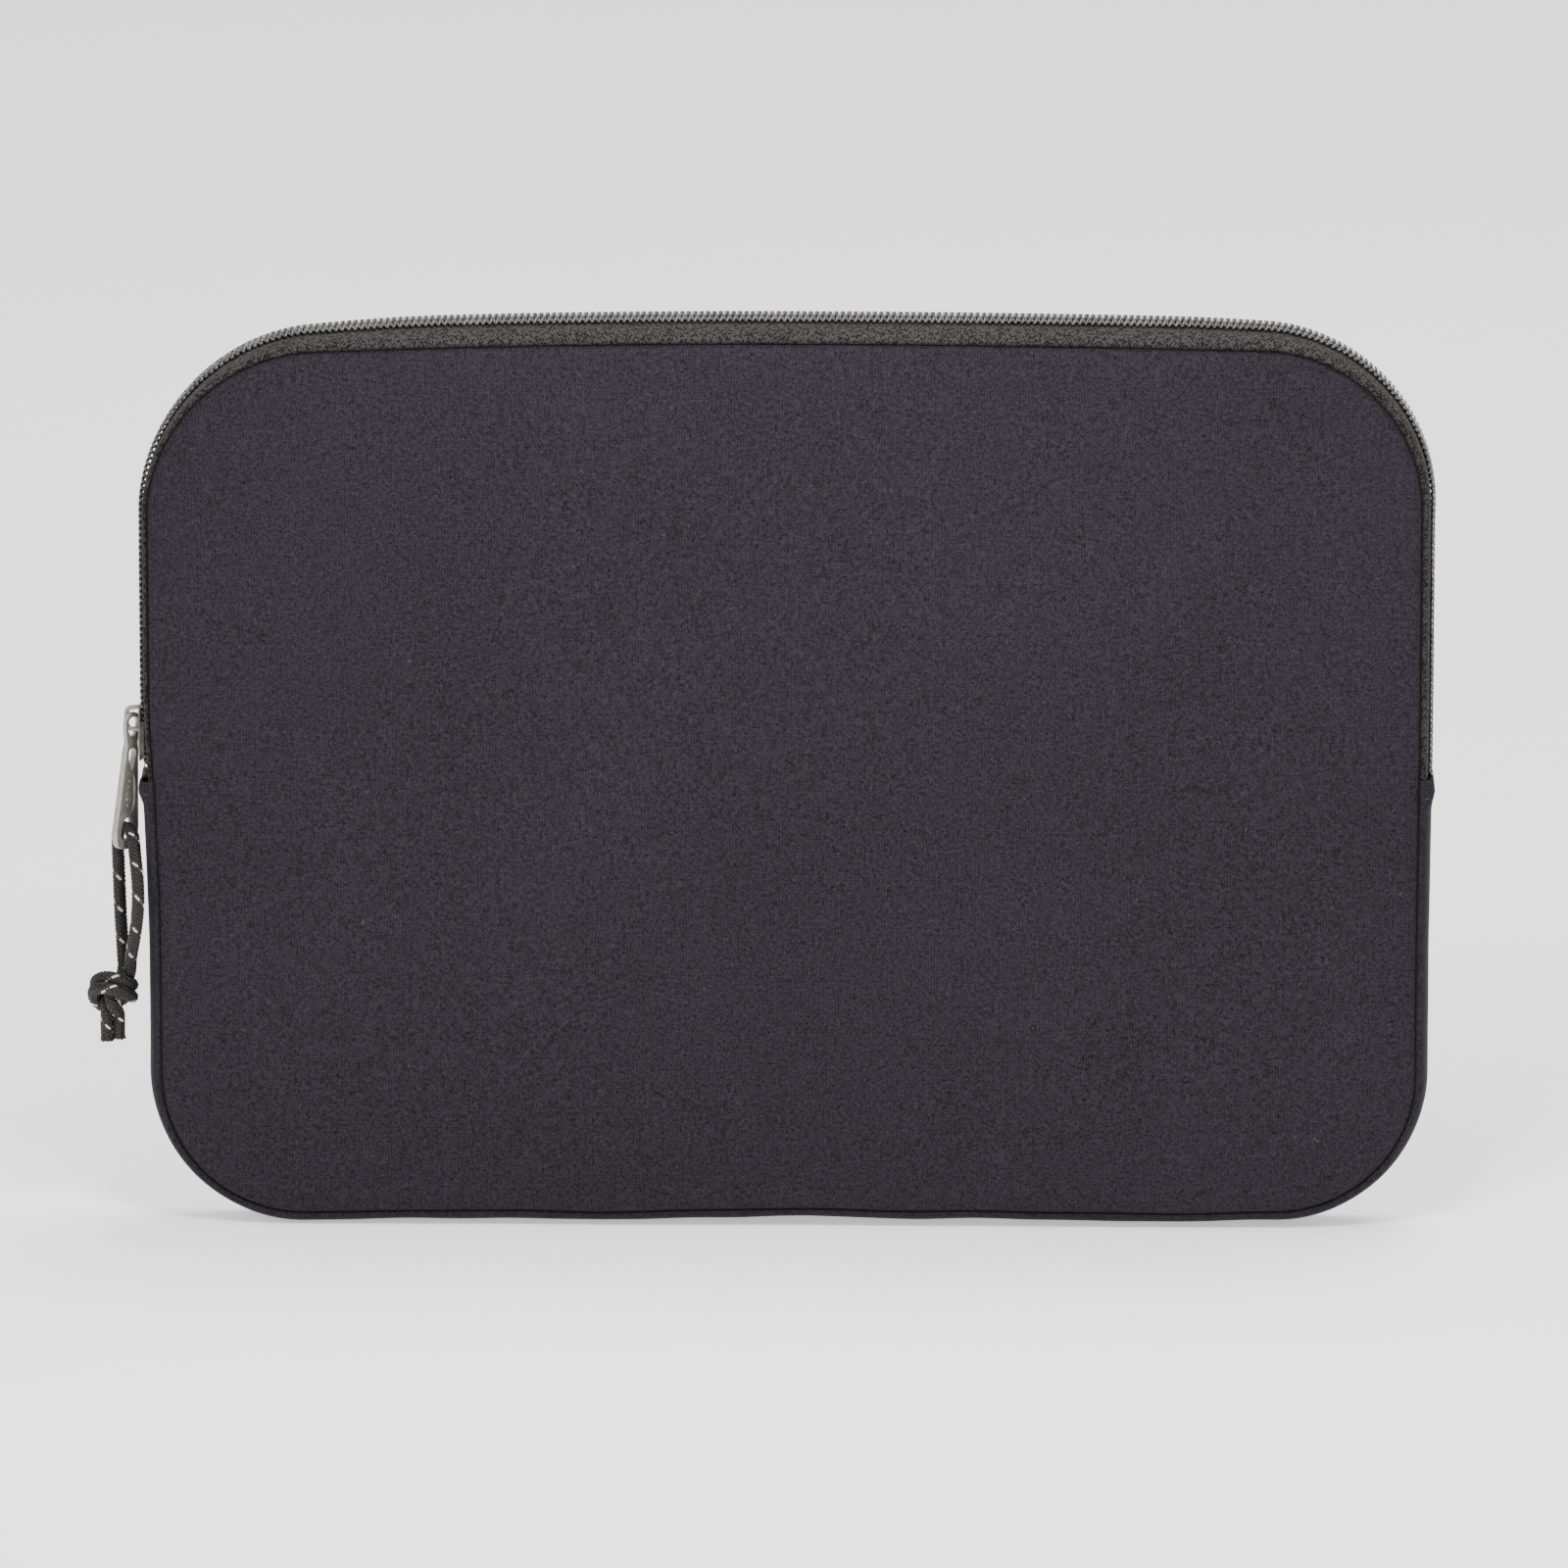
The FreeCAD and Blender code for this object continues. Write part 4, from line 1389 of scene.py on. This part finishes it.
# Cord: one line from tail to tail, with both legs tied together in an overhand knot

cord = {
    "diameter": 3.0 * mm,
    # up the left leg, over the bar of the pull, down the right leg
    "loop": [(-177.4, 0.3, 67.5), (-177.7, 0.8, 73.6), (-178.3, 1.3, 83.6), (-178.6, 1.9, 93.2),
             (-178.8, 2.0, 100.2), (-178.9, 1.9, 105.9), (-176.8, 0.0, 107.2), (-174.5, -1.9, 105.7),
             (-173.9, -5.2, 100.6), (-172.8, -9.2, 93.6), (-172.8, -10.3, 86.2), (-173.9, -7.6, 78.6),
             (-175.2, -4.2, 72.6), (-175.6, -1.9, 67.8)],
    "knotCentre": (-179.9, -0.4, 61.8),
    "knotScale": 1.07,
    # the pair's way through the knot, from its centre: right, towards the front, up
    "knotTurns": [(2.6, 0.2, 4.6), (2.8, 1.2, 1.8), (2.0, 0.6, -2.0), (-1.2, -1.8, -4.0), (-4.8, -1.8, -1.8),
                  (-5.2, 0.8, 1.8), (-2.4, 3.8, 3.6), (2.0, 4.2, 2.4), (5.0, 0.8, 0.2), (2.8, -3.8, 0.4),
                  (-0.6, -2.8, 0.8), (-1.8, 1.6, -0.4), (-1.2, 2.8, -3.4)],
    "tails": [[(-182.0, -1.8, 57.0), (-182.1, -1.4, 53.0), (-181.9, -1.2, 48.8)],
              [(-178.8, -1.6, 57.0), (-178.8, -0.9, 53.2), (-178.9, -0.6, 49.3)]],
    "pairSpread": 1.6,
    "step": 0.26 * mm,
    "lay": 8.6 * mm,
    "windRadius": 1.27 * mm,
    "weave": 0.15 * mm,
    "yarn": 0.40 * mm,
    "core": 1.0 * mm,
    "fray": 1.2 * mm,
}


def knotLeg(side):
    turns = [Vector((x, -f, z)) * cord["knotScale"] for x, f, z in cord["knotTurns"]]
    centre = Vector(cord["knotCentre"])
    out = []
    for k, p in enumerate(turns):
        along = (turns[min(k + 1, len(turns) - 1)] - turns[max(k - 1, 0)]).normalized()
        spread = along.cross(p)
        spread = (spread - along * spread.dot(along)).normalized()
        out.append(centre + p + spread * side * cord["pairSpread"])
    return out


def cordPoints():
    first = knotLeg(1)
    second = knotLeg(-1)
    tailA, tailB = [[Vector(p) for p in tail] for tail in cord["tails"]]
    loop = [Vector(p) for p in cord["loop"]]
    return list(reversed(tailA)) + list(reversed(first)) + loop + second + tailB


def lineOf(points):
    curve = bpy.data.curves.new("cordLine", "CURVE")
    curve.dimensions = "3D"
    curve.resolution_u = 10
    spline = curve.splines.new("NURBS")
    spline.points.add(len(points) - 1)
    for point, place in zip(spline.points, points):
        point.co = (*(place * mm), 1)
    spline.order_u = 3
    spline.use_endpoint_u = True
    return [v.co.copy() for v in takeMesh(linked("cordLine", curve)).vertices]


def makeCord():
    line = lineOf(cordPoints())
    piece = grow("cord", railMesh("cordRail", line), braidedCord, {
        "Step": cord["step"], "Lay": cord["lay"], "Radius": cord["windRadius"], "Weave": cord["weave"],
        "Yarn": cord["yarn"], "Core": cord["core"], "Fray": cord["fray"],
        "Material": cordYarn, "Tracer": tracerYarn})
    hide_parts("cord_loop", "cord_knot", "cord_tails")
    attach(piece, "cord")


makeCord()
print("cord done")


# Slider: two rounded plates round the coil, side flanges and the wedge that parts the loops

slider = {
    # half width and height of each layer, then its middle outside the seam line and its half thickness
    "layers": [
        {"line": [(0, 125.3), (1.8, 125.5), (2.8, 126.2), (4.15, 128.3), (4.4, 131.0), (4.25, 133.8),
                  (3.6, 137.6), (3.0, 139.8), (1.8, 140.5), (0, 140.6)],
         "out": 3.4, "half": 0.34, "bevel": 0.28},
        {"line": [(0, 126.6), (1.5, 126.8), (2.4, 127.6), (3.2, 129.2), (3.4, 131.0), (3.3, 133.4),
                  (2.7, 136.8), (2.2, 138.6), (1.2, 139.2), (0, 139.3)],
         "out": 3.64, "half": 0.24, "bevel": 0.2},
        {"line": [(0, 125.5), (2.6, 126.2), (4.1, 128.3), (4.3, 131.0), (4.1, 133.8), (3.0, 139.6),
                  (0, 140.4)],
         "out": -0.3, "half": 0.4, "bevel": 0.25},
        {"line": [(0, 125.6), (1.1, 125.8), (1.4, 127.0), (0.8, 129.2), (0, 130.0)],
         "out": 1.55, "half": 1.85, "bevel": 0.2},
    ],
    "flange": [(3.62, 127.4), (4.1, 128.4), (4.38, 131.0), (4.22, 133.8), (3.75, 136.6), (3.62, 136.2),
               (3.6, 131.8)],
    "flangeOut": 2.75,
    "flangeHalf": 0.68,
    "flangeBevel": 0.12,
    "stop": [(0, 120.8), (1.7, 120.85), (1.9, 121.3), (1.9, 122.7), (1.7, 123.15), (0, 123.2)],
    "stopOut": 2.1,
    "stopHalf": 0.8,
    "stopBevel": 0.35,
    "from": -169.0,
}


def addLayer(bm, outlines, out, half, bevel):
    # a rounded plate set flat against the band, its middle this far outside the seam line
    layer = bmesh.new()
    layer.from_mesh(plateMesh("layer", outlines, half, bevel))
    bmesh.ops.remove_doubles(layer, verts=layer.verts, dist=0.001)
    for v in layer.verts:
        v.co = Vector((slider["from"] - out - v.co.z, v.co.x, -v.co.y)) * mm
    bmesh.ops.recalc_face_normals(layer, faces=layer.faces)
    mesh = bpy.data.meshes.new("layer")
    layer.to_mesh(mesh)
    layer.free()
    bm.from_mesh(mesh)


def makeSlider():
    bm = bmesh.new()
    for layer in slider["layers"]:
        addLayer(bm, [closedOutline(layer["line"])], layer["out"], layer["half"], layer["bevel"])
    for side in (-1, 1):
        line = [(side * w, d) for w, d in slider["flange"]]
        addLayer(bm, [line], slider["flangeOut"], slider["flangeHalf"], slider["flangeBevel"])
    piece = finishMetal("slider", bm, sliderMetal)
    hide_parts("slider_body")
    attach(piece, "slider")
    bm = bmesh.new()
    addLayer(bm, [closedOutline(slider["stop"])], slider["stopOut"], slider["stopHalf"], slider["stopBevel"])
    piece = finishMetal("zipStop", bm, sliderMetal)
    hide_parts("zip_stop")
    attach(piece, "shell")


makeSlider()
print("slider and stop done")
